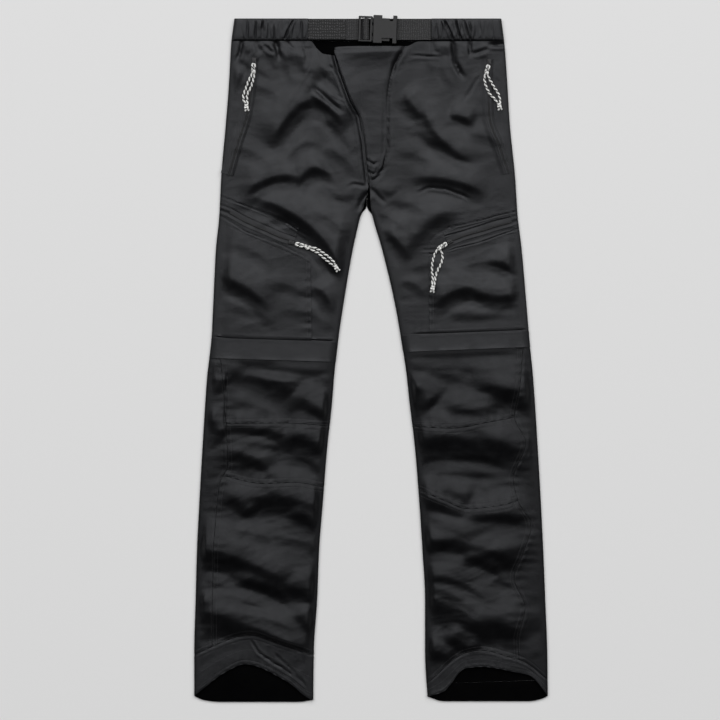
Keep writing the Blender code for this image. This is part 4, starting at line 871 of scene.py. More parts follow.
def painted_metal(name):
    """Dark paint on metal, a little uneven."""
    look = Look(name)
    tone = look.noise(900.0, 3.0)
    return look.finish(
        Base_Color=look.ramp(tone, (0.35, (0.02, 0.02, 0.021)), (0.75, (0.07, 0.07, 0.072))),
        Metallic=0.7, Roughness=0.38, Normal=look.bump(tone, 0.00008, 0.3))


def braided(name):
    """White braided cord with two black tracer threads. UV runs along it in millimetres and round it."""
    look = Look(name)
    uv = look.add("ShaderNodeUVMap", {}, uv_map="cord").outputs["UV"]
    split = look.add("ShaderNodeSeparateXYZ", {"Vector": uv}).outputs
    turns, around = look.maths("DIVIDE", split["X"], CORD_PITCH), split["Y"]
    tracers = []
    for way, width in (("ADD", 0.27), ("SUBTRACT", 0.04)):
        place = look.maths("FRACT", look.maths(way, turns, around))
        tracers.append(look.maths("LESS_THAN", place, width))
    tones = look.add("ShaderNodeMix", {}, data_type="RGBA")
    look.feed(tones, {"Factor": look.maths("MAXIMUM", *tracers), "A": CORD_WHITE, "B": CORD_BLACK})
    yarns, plaits = look.maths("DIVIDE", split["X"], 1.1), look.maths("MULTIPLY", around, 4.0)
    waves = [look.maths("SINE", look.maths("MULTIPLY", look.maths(way, yarns, plaits), 6.2832))
             for way in ("ADD", "SUBTRACT")]
    return look.finish(
        Base_Color=tones.outputs["Result"], Roughness=0.7, Sheen_Weight=0.2,
        Normal=look.bump(look.maths("MULTIPLY", *waves), 0.00018, 0.8))


def strapping(name, ribs, rows, dark, light, depth):
    """Webbing or elastic: ribs across its width, rows of yarn along it, and tufts. Its colour is painted
    lighter where they stand tall and darker between them: a painted highlight on the tops and painted shade
    in the hollows.
    """
    look = Look(name)
    tufts = look.noise(520.0, 2.0, (1.0, 0.6, 1.0), 0.7)
    tall = look.maths("MULTIPLY", look.bands((ribs, rows), (3.2, 5.5), 2.0), tufts)
    # Painted highlight and shade: the taller the weave, the lighter its colour.
    return look.finish(
        Base_Color=look.ramp(tall, (0.05, dark), (0.42, light)), Roughness=0.62,
        Specular_IOR_Level=0.4, Normal=look.bump(tall, depth, 0.9))


NYLON = woven("nylon_cloth", (0.0024, 0.0024, 0.0028), (0.0036, 0.0036, 0.0042), 0.42, 900.0, 0.00008,
              0.0003, 0.0, 0.36)
# The lower legs get a darker, less shiny copy of the nylon: painted shade, because they lie further from
# the light than the upper legs.
LOWER_NYLON_PAINTED_SHADE = woven("nylon_cloth_lower", (0.0018, 0.0018, 0.0021), (0.0027, 0.0027, 0.0032), 0.42,
                    900.0, 0.00008, 0.0003, 0.0, 0.26)
# Near-black cloth for the inner faces: painted shade where the inside of the legs shows at the hem
# openings. Its matte, barely shiny finish stands for the uncoated inner face.
INSIDE_PAINTED_SHADE = woven("nylon_inside_painted_shade", (0.0005, 0.0005, 0.0006), (0.0009, 0.0009, 0.001), 0.95, 900.0, 0.00008,
               0.0003, 0.0, 0.04)
TAPE = woven("zip_tape_weave", (0.009, 0.009, 0.0095), (0.015, 0.015, 0.016), 0.62, 1400.0, 0.0001,
             0.0001, 0.05)
WEB = strapping("webbing_weave", 115.0, 150.0, (0.004, 0.004, 0.0045), (0.06, 0.06, 0.063), 0.0006)
ELASTIC = strapping("elastic_weave", 88.0, 70.0, (0.002, 0.002, 0.0025), (0.05, 0.05, 0.052), 0.0011)
THREAD = woven("sewing_thread", (0.012, 0.012, 0.013), (0.022, 0.022, 0.023), 0.5, 2500.0, 0.00005,
               0.00003, 0.1)
PLASTIC = moulded("buckle_grain", (0.009, 0.009, 0.0098), 0.46)
COIL = moulded("zip_coil", (0.006, 0.006, 0.0066), 0.55)
METAL = painted_metal("slider_paint")
CORD_LOOK = braided("cord_braid")

# Outer and inner cloth. The inner one is the painted shade above, and the lower legs' outer one is the
# painted-shade copy of the nylon.
CLOTH = [NYLON, INSIDE_PAINTED_SHADE]
LOWER_CLOTH_PAINTED_SHADE = [LOWER_NYLON_PAINTED_SHADE, INSIDE_PAINTED_SHADE]


class Side:
    """The lines of one side of the trousers: inward is 1 where the inner edge lies towards +x."""

    def __init__(self, word, leg, inward, **tables):
        self.word, self.leg, self.inward = word, leg, inward
        for key, value in tables.items():
            setattr(self, key, value)
        near = (self.outseam.moved(-inward * GAP / 2), None)
        seam = (self.outseam.moved(inward * GAP / 2), None)
        self.edges = (self.west, self.east)
        self.panel_sides = (seam, self.east) if inward > 0 else (self.west, seam)
        self.strip_sides = (self.west, near) if inward > 0 else (near, self.east)
        self.outer_word, self.inner_word = ("west", "east")[::inward]


SIDES = [
    Side("right", RIGHT, 1, top=RIGHT_TOP, zip_line=RIGHT_ZIP, flap=RIGHT_FLAP,
         flap_deep=RIGHT_FLAP_DEEP, outseam=RIGHT_OUTSEAM, knee_top=RIGHT_KNEE_TOP,
         knee_low=RIGHT_KNEE_LOW, hem_top=RIGHT_HEM_TOP, hem_under=RIGHT_HEM_UNDER,
         hem_edge=RIGHT_HEM_EDGE, back_edge=RIGHT_BACK_EDGE, hand_zip=RIGHT_HAND_ZIP,
         thigh_zip=RIGHT_THIGH_ZIP, welt_wide=RIGHT_WELT_WIDE,
         west=(RIGHT_OUTER, always), east=(RIGHT_INNER, always),
         front=((RIGHT_OUTER, always), (inside_line(RIGHT_INNER, -FLY_GAP / 2), below_crotch)),
         back=((RIGHT_OUTER, always), (seat_line(RIGHT_INNER, -GAP / 2), below_crotch))),
    Side("left", LEFT, -1, top=LEFT_TOP, zip_line=LEFT_ZIP, flap=LEFT_FLAP,
         flap_deep=LEFT_FLAP_DEEP, outseam=LEFT_OUTSEAM, knee_top=LEFT_KNEE_TOP,
         knee_low=LEFT_KNEE_LOW, hem_top=LEFT_HEM_TOP, hem_under=LEFT_HEM_UNDER,
         hem_edge=LEFT_HEM_EDGE, back_edge=LEFT_BACK_EDGE, hand_zip=LEFT_HAND_ZIP,
         thigh_zip=LEFT_THIGH_ZIP, welt_wide=LEFT_WELT_WIDE,
         west=(LEFT_INNER, always), east=(LEFT_OUTER, always),
         front=((inside_line(LEFT_INNER, FLY_GAP / 2), below_crotch), (LEFT_OUTER, always)),
         back=((seat_line(LEFT_INNER, GAP / 2), below_crotch), (LEFT_OUTER, always))),
]


def front_panel(name, side, top, bottom, sides, seams, wide, long, node, lift=0.0, wall=WALL,
                materials=CLOTH, extra=None):
    """A panel of the front, with its seams' relief and its stitch lines."""
    down = parts_of(long, CLOTH_STEP, "top" in seams, "bottom" in seams)
    across = parts_of(wide, CLOTH_STEP, "west" in seams, "east" in seams)
    grid = Grid(top, bottom, sides, down, across)
    relief = seam_relief(grid, seams) + lift
    if extra is not None:
        relief = relief + extra(grid)
    outside = grid.over(side.leg, relief)
    inside = grid.over(side.leg, np.minimum(relief, lift) - wall)
    cloth_piece(name, outside, inside, materials, "nylon", node)
    rows, columns = outside[:, 4:-4], outside[3:-3].swapaxes(0, 1)
    first = (EDGE_STITCH, SECOND_STITCH)
    last = (-1 - EDGE_STITCH, -1 - SECOND_STITCH)
    for word, lines, places in (("top", rows, first), ("bottom", rows, last),
                                ("west", columns, first), ("east", columns, last)):
        for place in places if word in seams else ():
            stitches("stitches_" + name, lines[place])


def strip_on(leg, centre, low, high, lift, wall, step=2.0, across=5, relief=None):
    """Grids of a strip that follows a line on the cloth between two distances beside it."""
    centre = np.asarray(centre, float)
    lengths = run_of(centre)
    at = np.linspace(0, lengths[-1], max(int(lengths[-1] / step), 2))
    x, depth = (Line(np.stack([lengths, column], 1))(at) for column in centre.T)
    ahead_x, ahead_depth = np.gradient(x, at), np.gradient(depth, at)
    size = np.hypot(ahead_x, ahead_depth)
    off = np.linspace(low, high, across)[None]
    x = x[:, None] - (ahead_depth / size)[:, None] * off
    depth = depth[:, None] + (ahead_x / size)[:, None] * off
    extra = 0.0 if relief is None else relief(off, at[:, None])
    return leg.cloth(x, depth, lift + extra), leg.cloth(x, depth, lift - wall)


COIL_STEP = 1.5
COIL_HALF = 1.5
COIL_LONG = 0.93           # length of a turn along the zip
COIL_TURN = [(1, 0.0), (0.55, 0.75), (-0.15, 0.9), (-0.25, 0.1)]       # share across, rise
COIL_WIRE = [(-0.5, 0.0), (0.5, 0.0), (0.5, 0.55), (-0.5, 0.55)]       # share along, drop


def zip_coil(name, leg, centre, lift):
    """Two rows of coil turns that meet along a closed zip."""
    outside, _ = strip_on(leg, centre, -COIL_HALF, COIL_HALF, lift, 0.5, step=1.0, across=3)
    places, ahead = along_line(outside[:, 1], COIL_STEP)
    wide, up = frame_of(ahead)
    corners = len(COIL_WIRE)
    end = corners * (len(COIL_TURN) - 1)
    points, faces = [], []
    for side in (-1, 1):
        for place, forward, w, u in zip(places, ahead, wide, up):
            shift = forward * (COIL_STEP / 2 if side > 0 else 0.0)
            base = len(points)
            for across, rise in COIL_TURN:
                for along, drop in COIL_WIRE:
                    points.append(place + shift + w * side * across * COIL_HALF + u * (rise - drop)
                                  + forward * along * COIL_LONG)
            for low in range(base, base + end, corners):
                for k in range(corners):
                    m = (k + 1) % corners
                    faces.append((low + k, low + m, low + corners + m, low + corners + k))
            faces.append((base, base + 3, base + 2, base + 1))
            faces.append(tuple(range(base + end, base + end + corners)))
    keep(name, build_mesh(name, np.array(points), faces, 30.0), [COIL], "zip_tape")


# Camera, looking straight down at the middle of the photograph
PHOTO_SIDE = 720
PIXEL = 1.52
PHOTO_MIDDLE = 371.1       # column of x 0
PHOTO_WAIST = 18.5         # row of depth 0
CAMERA_HIGH = 4.6
SENSOR = 36.0
camera_data = bpy.data.cameras.new("camera")
camera_data.sensor_width = SENSOR
camera_data.lens = SENSOR * (CAMERA_HIGH - LAYERS * MM) / (PHOTO_SIDE * PIXEL * MM)
camera = placed("camera", camera_data)
camera.location = ((PHOTO_SIDE / 2 - PHOTO_MIDDLE) * PIXEL * MM,
                   (WAIST_Y - (PHOTO_SIDE / 2 - PHOTO_WAIST) * PIXEL) * MM, CAMERA_HIGH)
bpy.context.scene.camera = camera

# Cord pulls: the head at the slider, two strands, and the knot that closes them. Places are x, depth
# and rise over the cloth, and headings are in degrees from straight down
ROUTE_STEPS = 16
TRIM = 0.5
SWAY = 0.55
SWAY_LONG = 7.0
CROWN_AHEAD = 4.5          # where the cord leaves a slider: off its middle, and over the cloth
CROWN_HIGH = 5.0
LONG_HEAD = 10.0           # half length from which a head counts as a long one
CORD_RADIUS = 1.4          # as drawn: the braid stands a little proud of the cord's measure
HEAD_RADIUS = 1.4
KNOT_RADIUS = 1.45
KNOT_HALF = (5.0, 3.8, 3.0)
HEAD_HALF_WIDE = 4.2
HEAD_HALF_HIGH = 2.8
PULLS = {
    "hand_right": {
        "slider": (-177.5, 64, 0),
        "head": (-178.5, 76.6, 5.0, 0),
        "head_half": 7.5,
        "a": [(-180.3, 82, 4.8), (-182.5, 88, 4.0), (-186, 95, 3.6), (-190, 106, 3.5),
              (-194, 117, 3.4), (-193.5, 124, 3.4), (-190.3, 131.8, 4.8)],
        "b": [(-176.9, 82, 4.8), (-178, 89, 4.0), (-180, 97, 3.6), (-183, 106, 3.5),
              (-187.5, 114, 3.4), (-188.5, 122, 3.4), (-187, 131.8, 4.8)],
        "knot": (-189, 135.5, 5.2, 5),
    },
    "hand_left": {
        "slider": (179.5, 66, 0),
        "head": (176.5, 78.8, 5.0, -12),
        "head_half": 7.5,
        "a": [(173.2, 84, 4.8), (172, 91, 4.0), (173, 98, 3.6), (176, 107, 3.5), (181, 116, 3.4),
              (187, 122, 3.4), (193.3, 130.6, 4.8)],
        "b": [(176.6, 84.5, 4.8), (179, 91, 4.0), (183, 98, 3.6), (187, 105, 3.5), (191, 111, 3.4),
              (194.5, 118, 3.4), (196.6, 130.6, 4.8)],
        "knot": (195, 134, 5.2, 10),
    },
    "thigh_right": {
        "slider": (-121, 340, 72),
        "head": (-102.5, 346, 5.4, 74),
        "head_half": 13.0,
        "a": [(-92, 347.4, 5.0), (-84, 349.5, 3.8), (-79, 352, 2.6), (-72, 357, 2.3),
              (-64, 363, 2.3), (-57, 370, 2.5), (-53.4, 376, 3.4)],
        "b": [(-92.5, 350.9, 5.0), (-85, 354.5, 3.8), (-80, 357, 2.6), (-75, 361.5, 2.3),
              (-68, 367.5, 2.3), (-61, 373, 2.5), (-56, 377.2, 3.4)],
        "knot": (-52.5, 379.5, 3.8, 30),
    },
    "thigh_left": {
        "slider": (119.5, 339, -62),
        "head": (108, 346.5, 5.4, -56),
        "head_half": 8.0,
        "a": [(102.8, 349.2, 5.0), (98.5, 354.5, 4.4), (95.3, 362, 4.2), (93, 372, 4.2),
              (92.4, 384, 4.2), (93.5, 394, 4.2), (92.2, 407.5, 6.0)],
        "b": [(105.4, 351.5, 5.0), (107.5, 357.5, 4.4), (108.5, 364, 4.2), (106, 373, 4.2),
              (101, 383, 4.2), (97.8, 393, 4.2), (95.8, 407.5, 6.0)],
        "knot": (93.5, 411, 6.1, -10),
    },
}


def turned(x, depth, degrees):
    """Places in a small piece's own length and width: length runs down at 0 and towards +x at 90."""
    angle = math.radians(degrees)
    down = np.array([math.sin(angle), math.cos(angle)])
    out = np.array([math.cos(angle), -math.sin(angle)])
    return lambda u, v: np.array([x, depth]) + down * u + out * v


class Lump:
    """The room of a knot, in the cloth's frame."""

    def __init__(self, leg, at, half):
        x, depth, rise, heading = at
        self.at = turned(x, depth, heading)
        self.middle = float(leg.height(x, depth)) + rise
        self.half = half

    def point(self, u, v, w):
        x, depth = self.at(u * self.half[0], v * self.half[1])
        return np.array([x, depth, self.middle + w * self.half[2]])

    def holds(self, point, clear):
        centre = self.point(0, 0, 0)
        long, wide = self.point(1, 0, 0) - centre, self.point(0, 1, 0) - centre
        off = point - centre
        parts = (off @ long / np.linalg.norm(long), off @ wide / np.linalg.norm(wide), off[2])
        return sum((part / (half + clear)) ** 2 for part, half in zip(parts, self.half)) < 1


def smooth_route(points):
    """A finely stepped smooth curve through a route's own points."""
    points = [np.array(p, float) for p in points]
    chain = [points[0] * 2 - points[1]] + points + [points[-1] * 2 - points[-2]]
    fine = []
    for a, b, c, d in zip(chain, chain[1:], chain[2:], chain[3:]):
        for step in range(ROUTE_STEPS):
            t = step / ROUTE_STEPS
            fine.append(0.5 * (2 * b + (c - a) * t + (2 * a - 5 * b + 4 * c - d) * t ** 2
                               + (3 * b - a - 3 * c + d) * t ** 3))
    return np.array(fine + [points[-1]])


def tube(name, paths, radius, sides=14, step=0.45):
    """Round cords along paths, with UV in millimetres along each and turns round it."""
    points, faces, coords = [], [], []
    for path in paths:
        places = np.concatenate([path[:1], along_line(path, step)[0], path[-1:]])
        ahead = unit(np.gradient(places, axis=0))
        wide, up = frame_of(ahead)
        for i in range(1, len(places)):
            wide[i] = unit(wide[i - 1] - ahead[i] * (wide[i - 1] @ ahead[i]))
            up[i] = np.cross(wide[i], ahead[i])
        run = run_of(places)
        base = len(points)
        size = np.ones(len(places))
        size[0] = size[-1] = 0.7
        for i, place in enumerate(places):
            for k in range(sides):
                angle = 2 * np.pi * k / sides
                points.append(place + radius * size[i] * (wide[i] * math.cos(angle)
                                                          + up[i] * math.sin(angle)))
        for i in range(len(places) - 1):
            low = base + i * sides
            for k in range(sides):
                m = (k + 1) % sides
                faces.append((low + k, low + m, low + sides + m, low + sides + k))
                u0, u1, v0, v1 = run[i], run[i + 1], k / sides, (k + 1) / sides
                coords += [(u0, v0), (u0, v1), (u1, v1), (u1, v0)]
        for start, order in ((base, range(sides - 1, -1, -1)), (len(points) - sides, range(sides))):
            faces.append(tuple(start + k for k in order))
            coords += [(0.0, 0.5)] * sides
    mesh = bpy.data.meshes.new(name)
    mesh.from_pydata(metres(np.array(points)).tolist(), [], faces)
    layer = mesh.uv_layers.new(name="cord")
    layer.data.foreach_set("uv", np.array(coords, np.float32).ravel())
    mesh.update()
    mesh.shade_smooth()
    return keep(name, mesh, [CORD_LOOK], "cord")


def knot_path(lump, size):
    """A closed trefoil in a lump's room, as an overhand knot looks when it is pulled tight."""
    t = np.linspace(0, 2 * np.pi, 90)
    u = (np.sin(t) + 2 * np.sin(2 * t)) / 3 * size[0]
    v = (np.cos(t) - 2 * np.cos(2 * t)) / 3 * size[1]
    w = -np.sin(3 * t) * size[2]
    return np.array([lump.point(*place) for place in zip(u, v, w)])


def both_ways(lump, *routes):
    """Smooth routes through shares of a lump's room, each on both sides of its middle."""
    return [smooth_route([lump.point(u, side * v, w) for u, v, w in route])
            for side in (-1, 1) for route in routes]


HEAD_LOOP = [(-1.0, 0.0, 0.1), (-0.8, 0.45, 0.2), (-0.35, 0.5, 0.25), (0.05, 0.35, 0.2)]
HEAD_TAIL = [(0.3, 0.3, 0.1), (0.65, 0.42, 0.0), (1.0, 0.4, -0.1)]
KNOT_STRAND = [(-0.2, 0.2, 0.1), (-0.6, 0.35, 0.1), (-0.98, 0.42, 0.0)]
KNOT_TAIL = [(0.3, 0.2, 0.2), (0.75, 0.45, 0.0), (1.1, 0.75, -0.2)]


def make_pull(word, leg, sizes):
    """The strands of a pull, its head round the slider's crown, and the knot at its end."""
    head = Lump(leg, sizes["head"], (sizes["head_half"], HEAD_HALF_WIDE, HEAD_HALF_HIGH))
    knot = Lump(leg, sizes["knot"], KNOT_HALF)
    x, depth = turned(*sizes["slider"])(CROWN_AHEAD, 0)
    exit_point = metres([x, depth, float(leg.height(x, depth)) + CROWN_HIGH])
    for letter in "ab":
        route = smooth_route([(x, depth, float(leg.height(x, depth)) + rise)
                              for x, depth, rise in sizes[letter]])
        free = np.array([p for p in route if not any(end.holds(p, TRIM) for end in (head, knot))])
        run = run_of(free)
        ahead = unit(np.gradient(free, axis=0))
        sway = SWAY * np.sin(2 * np.pi * run / SWAY_LONG) * ease(run / 6) * ease((run[-1] - run) / 6)
        free[:, :2] += np.stack([-ahead[:, 1], ahead[:, 0]], 1) * sway[:, None]
        strand = tube("cord_" + word + "_" + letter, [free], CORD_RADIUS)
        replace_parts(strand, "pull_" + word + "_" + letter)
        run_of(free)[-1] * MM
    long_head = sizes["head_half"] > LONG_HEAD
    core = knot_path(head, (0.42 if long_head else 0.62, 0.62, 0.5))
    core[:, :2] += (head.point(0.45 if long_head else 0.3, 0, 0) - head.point(0, 0, 0))[:2]
    paths = [core] + both_ways(head, HEAD_LOOP) + both_ways(head, HEAD_TAIL)
    top = tube("knot_head_" + word, paths, HEAD_RADIUS)
    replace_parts(top, "pull_" + word + "_head")
    paths = [knot_path(knot, (0.66, 0.62, 0.5))] + both_ways(knot, KNOT_STRAND, KNOT_TAIL)
    tied = tube("knot_end_" + word, paths, KNOT_RADIUS)
    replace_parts(tied, "pull_" + word + "_knot")


for word, sizes in PULLS.items():
    make_pull(word, RIGHT if word.endswith("right") else LEFT, sizes)

# Fronts and backs of the upper legs. Sizes with a panel are about its width and length: they set how
# many points it has
LEG_LONG = 452
for side in SIDES:
    word = side.word
    lower = side.zip_line.moved(-GAP / 2)
    front_panel("front_panel_" + word, side, side.top, lower, side.front, {"bottom"}, 190, LEG_LONG,
                "front_" + word)
    back = Grid(BACK_TOP, lower, side.back, parts_of(LEG_LONG, BACK_STEP, True, True),
                parts_of(200, BACK_STEP, False, False))
    cloth_piece("back_panel_" + word, back.under(0.0), back.under(WALL), CLOTH, "nylon", "back_" + word)

# Thigh pockets: bag, welt and zip
ON_CLOTH = GAP + FLAP_THICK            # top of a piece that lies on the front
TAPE_TOP = GAP + TAPE_THICK
RIGHT_BAG = dict(top=Line([(-221, 307), (-188, 323), (-158, 336), (-122, 351), (-92, 366)]),
                 bottom=Line([(-228, 484), (-90, 488)]),
                 west=Line([(307, -221), (484, -228)]), east=Line([(366, -92), (488, -90)]))
LEFT_BAG = dict(top=Line([(88, 355), (110, 352), (128, 346), (158, 338), (176, 332), (204, 323),
                          (217, 320)]),
                bottom=Line([(88, 478), (230, 472)]),
                west=Line([(355, 88), (478, 88.1)]), east=Line([(320, 217), (472, 230)]))


def bag_taper(grid, side):
    """The bag runs into the front at the side of the leg, where it has no seam."""
    off = grid.x - grid.west if side.inward > 0 else grid.east - grid.x
    return -(ON_CLOTH - 0.12) * (1 - ease(off / 14))


def welt(side, low, high):
    """The welt above a thigh zip, with rolled edges."""
    def relief(off, at):
        edges = np.exp(-(off - low) / 0.6) + np.exp(-(high - off) / 0.6)
        return 0.1 * noise(at / 16, off / 9, 9) - 0.3 * edges
    layers = strip_on(side.leg, side.thigh_zip, low, high, ON_CLOTH, FLAP_THICK, across=13, relief=relief)
    cloth_piece("welt_" + side.word, *layers, CLOTH, "nylon", "thigh_welt_" + side.word)
    for column in (1, -2):
        stitches("stitches_welt_" + side.word, layers[0][:, column])


for side, bag in zip(SIDES, (RIGHT_BAG, LEFT_BAG)):
    front_panel("bag_" + side.word, side, bag["top"], bag["bottom"],
                ((bag["west"], None), (bag["east"], None)), {"top", side.inner_word}, 136, 140,
                "thigh_pocket_" + side.word, lift=ON_CLOTH, wall=FLAP_THICK,
                extra=lambda grid: bag_taper(grid, side))
    half = THIGH_ZIP_WIDE / 2
    layers = strip_on(side.leg, side.thigh_zip, -half, half, TAPE_TOP, TAPE_THICK)
    cloth_piece("thigh_tape_" + side.word, *layers, [TAPE], "zip_tape", "thigh_zip_" + side.word)
    zip_coil("thigh_coil_" + side.word, side.leg, side.thigh_zip, TAPE_TOP)
    welt(side, -half - GAP - side.welt_wide, -half - GAP)

# Hand pockets: each lip has a name, its near and far edge, and the column of its stitches
LIP_THICK = 0.3
LIPS = [("outer", -8.0, -0.6, 8), ("inner", 0.6, 13.0, 7)]


def lip_relief(off, at, reach):
    """Highest beside the slit, and down to the cloth at the seam."""
    off = np.abs(off)
    slope = -1.72 * ease((off - 3) / (reach - 3))
    return slope - 0.3 * np.exp(-(off - 0.6) / 0.5) - 0.22 * np.exp(-((off - 5.0) / 0.8) ** 2)


for side in SIDES:
    leg, line, name = side.leg, side.hand_zip, "hand_tape_" + side.word
    half = HAND_ZIP_WIDE / 2
    mesh, _ = shell(name, *strip_on(leg, line, -half, half, TAPE_TOP, TAPE_THICK))
    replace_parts(keep(name, mesh, [TAPE], "zip_tape"), "hand_zip_" + side.word)
    zip_coil("hand_coil_" + side.word, leg, line, TAPE_TOP)
    for tag, low, high, column in LIPS:
        reach = max(-low, high)
        outside, inside = strip_on(leg, line, low, high, TAPE_TOP + LIP_THICK, LIP_THICK, across=22,
                                   relief=lambda off, at: lip_relief(off, at, reach))
        inside = np.minimum(inside, outside - np.array([0, 0, 0.1]))
        name = "hand_lip_" + tag + "_" + side.word
        keep(name, shell(name, outside, inside)[0], [NYLON], "nylon")
        stitches("stitches_hand_" + side.word, outside[:, column])


# Fly: flap over the opening and the underlap behind it
def flap_taper(grid):
    """The cover lies on the front, and its sewn edge and top run into it."""
    near = ease((grid.east - grid.x) / 9) * ease((grid.depth - grid.top(grid.x)) / 5)
    return -(ON_CLOTH - 0.12) * (1 - near)


FLAP_WEST = Line([(48, -56), (87, -42), (127, -27), (154, -13), (188, -7), (218, -4), (246, 1)])
FLAP_EAST = Line([(44, 48), (86, 31), (110, 26), (150, 23), (218, 21), (238, 13), (246, 5)])
front_panel("fly_cover", SIDES[1], Line([(-56, 47.5), (48, 44)]), Line([(-2, 245), (9, 245.1)]),
            ((FLAP_WEST, None), (FLAP_EAST, None)), set(), 60, 198, "fly_flap", lift=ON_CLOTH,
            wall=FLAP_THICK, extra=flap_taper)
LAP_WEST = Line([(66, -68), (90, -54), (128, -40), (156, -28), (250, -24)])
LAP_EAST = Line([(66, 38), (110, 34), (200, 30), (250, 20)])
lap = Grid(Line([(-68, 66), (38, 66.1)]), Line([(-24, 250), (20, 250.1)]),
           ((LAP_WEST, None), (LAP_EAST, None)), np.linspace(0, 1, 60), np.linspace(0, 1, 30))
LAP_TOP = 4.2
LAP_THICK = 1.2
layers = [points_at(lap.x, lap.depth, height) for height in (LAP_TOP, LAP_TOP - LAP_THICK)]
cloth_piece("fly_lap", *layers, CLOTH, "nylon", "fly_underlap")


# Lower legs
def all_round(over, beneath):
    """Once round a leg: the front, with both its ends at half height, and then the back."""
    over[:, 0, 2] = over[:, -1, 2] = HALF
    return np.concatenate([over, beneath[:, 1:-1][:, ::-1]], 1)


def knee_ring(side):
    """The tape of the zip-off line, all round the leg."""
    top, low = side.zip_line.moved(GAP / 2), side.zip_line.moved(ZIP_TAPE - GAP / 2)
    over, under = (Grid(top, low, side.edges, np.linspace(0, 1, 7), np.linspace(0, 1, columns))
                   for columns in (60, 20))
    layers = [all_round(over.over(side.leg, -inset), under.under(inset)) for inset in (0.0, WALL)]
    cloth_piece("knee_ring_" + side.word, *layers, [TAPE], "zip_tape", "knee_zip_" + side.word, ring=True)


def flap_edge(grid):
    """The free lower edge of a storm flap waves a little, and its ends run down to the zip."""
    low = grid.bottom(grid.x) - grid.depth
    wave = 1 + 0.6 * np.sin(grid.x / 9 + 2 * noise(grid.x / 31, 0.0, 11))
    ends = ease(np.minimum(grid.x - grid.west, grid.east - grid.x) / 12)
    return mix(-(ON_CLOTH - 0.25), 0.6 * np.exp(-low / 4) * wave, ends)


def storm_flap(side):
    """The flap over the zip-off line."""
    front_panel("storm_flap_" + side.word, side, side.flap, side.flap.moved(side.flap_deep), side.edges,
                set(), 185, side.flap_deep, "knee_flap_" + side.word, lift=ON_CLOTH, wall=FLAP_THICK,
                extra=flap_edge)


def lower_fronts(side):
    """Upper shin, knee panel and lower shin, each with its length."""
    lines = [side.zip_line.moved(ZIP_TAPE), side.knee_top, side.knee_low, side.hem_top]
    for word, long, top, bottom in zip(("shin_upper_", "knee_panel_", "shin_lower_"), (105, 100, 245),
                                       lines, lines[1:]):
        seams = {"bottom", side.outer_word}
        if word != "shin_upper_":
            seams.add("top")
        front_panel(word + "cloth_" + side.word, side, top.moved(GAP / 2), bottom.moved(-GAP / 2),
                    side.panel_sides, seams, 150, long, word + side.word, materials=LOWER_CLOTH_PAINTED_SHADE)


def lower_back(side):
    """The back of the lower leg, which wraps on to the front as far as the outseam."""
    top = side.zip_line.moved(ZIP_TAPE + GAP / 2)
    down = parts_of(LEG_LONG, CLOTH_STEP * 1.3, True, True)
    strip = Grid(top, side.hem_top.moved(-GAP / 2), side.strip_sides, down,
                 parts_of(30, 2.5, side.inward < 0, side.inward > 0))
    under = Grid(top, side.hem_under.moved(-GAP / 2), side.edges, down,
                 parts_of(180, BACK_STEP, False, False))
    relief = seam_relief(strip, {"top", "bottom", side.inner_word})
    layers = []
    for lift, inset in ((relief, 0.0), (np.minimum(relief, 0) - WALL, WALL)):
        over = strip.over(side.leg, lift)[:, ::side.inward]
        beneath = under.under(inset)[:, ::side.inward]
        over[:, 0, 2] = HALF
        layers.append(np.concatenate([beneath[:, ::-1][:, :-1], over], 1))
    cloth_piece("lower_back_cloth_" + side.word, *layers, LOWER_CLOTH_PAINTED_SHADE, "nylon", "lower_back_" + side.word)
    stitches("stitches_outseam_" + side.word, layers[0][4:-4, -1 - EDGE_STITCH])


def hem(side):
    """The turned hem, all round the leg."""
    down = parts_of(46, 2.5, True, True)
    grids = [Grid(side.hem_top.moved(GAP / 2), side.hem_edge, sides, down, np.linspace(0, 1, columns))
             for sides, columns in ((side.strip_sides, 14), (side.panel_sides, 84))]
    under = Grid(side.hem_under.moved(GAP / 2), side.back_edge, side.edges, down, np.linspace(0, 1, 30))
    layers = []
    for inset in (0.0, HEM_WALL):
        reliefs = [0.0 if inset else seam_relief(grid, {"top", "bottom"}) for grid in grids]
        strip, main = (grid.over(side.leg, relief - inset) for grid, relief in zip(grids, reliefs))
        over = np.concatenate([strip[:, :-1], main] if side.inward > 0 else [main, strip[:, 1:]], 1)
        layers.append(all_round(over, under.under(inset)))
    cloth_piece("hem_cloth_" + side.word, *layers, CLOTH, "nylon", "hem_" + side.word, ring=True)
    front = layers[0][:, :over.shape[1]]
    for row in (EDGE_STITCH, -1 - SECOND_STITCH, len(down) // 2):
        stitches("stitches_hem_" + side.word, front[row, 3:-3])


for side in SIDES:
    for make in (knee_ring, storm_flap, lower_fronts, lower_back, hem):
        make(side)

# Waistband: gathered casing on the front, plain casing across the back
BAND_WALL = 2.6
BAND_HALF = 4.0
BAND_CROWN = 1.3
BAND_BULGE = 0.7
OPEN_ENDS = (-96.0, 92.0)
BAND_SHARES = np.array([0, 0.02, 0.05, 0.08, 0.1, 0.12, 0.16, 0.22, 0.3, 0.4, 0.5, 0.6, 0.7, 0.78, 0.84,
                        0.88, 0.9, 0.92, 0.95, 0.98, 1.0])[:, None]
BAND_DEPTHS = BAND_SHARES * BAND_BOTTOM

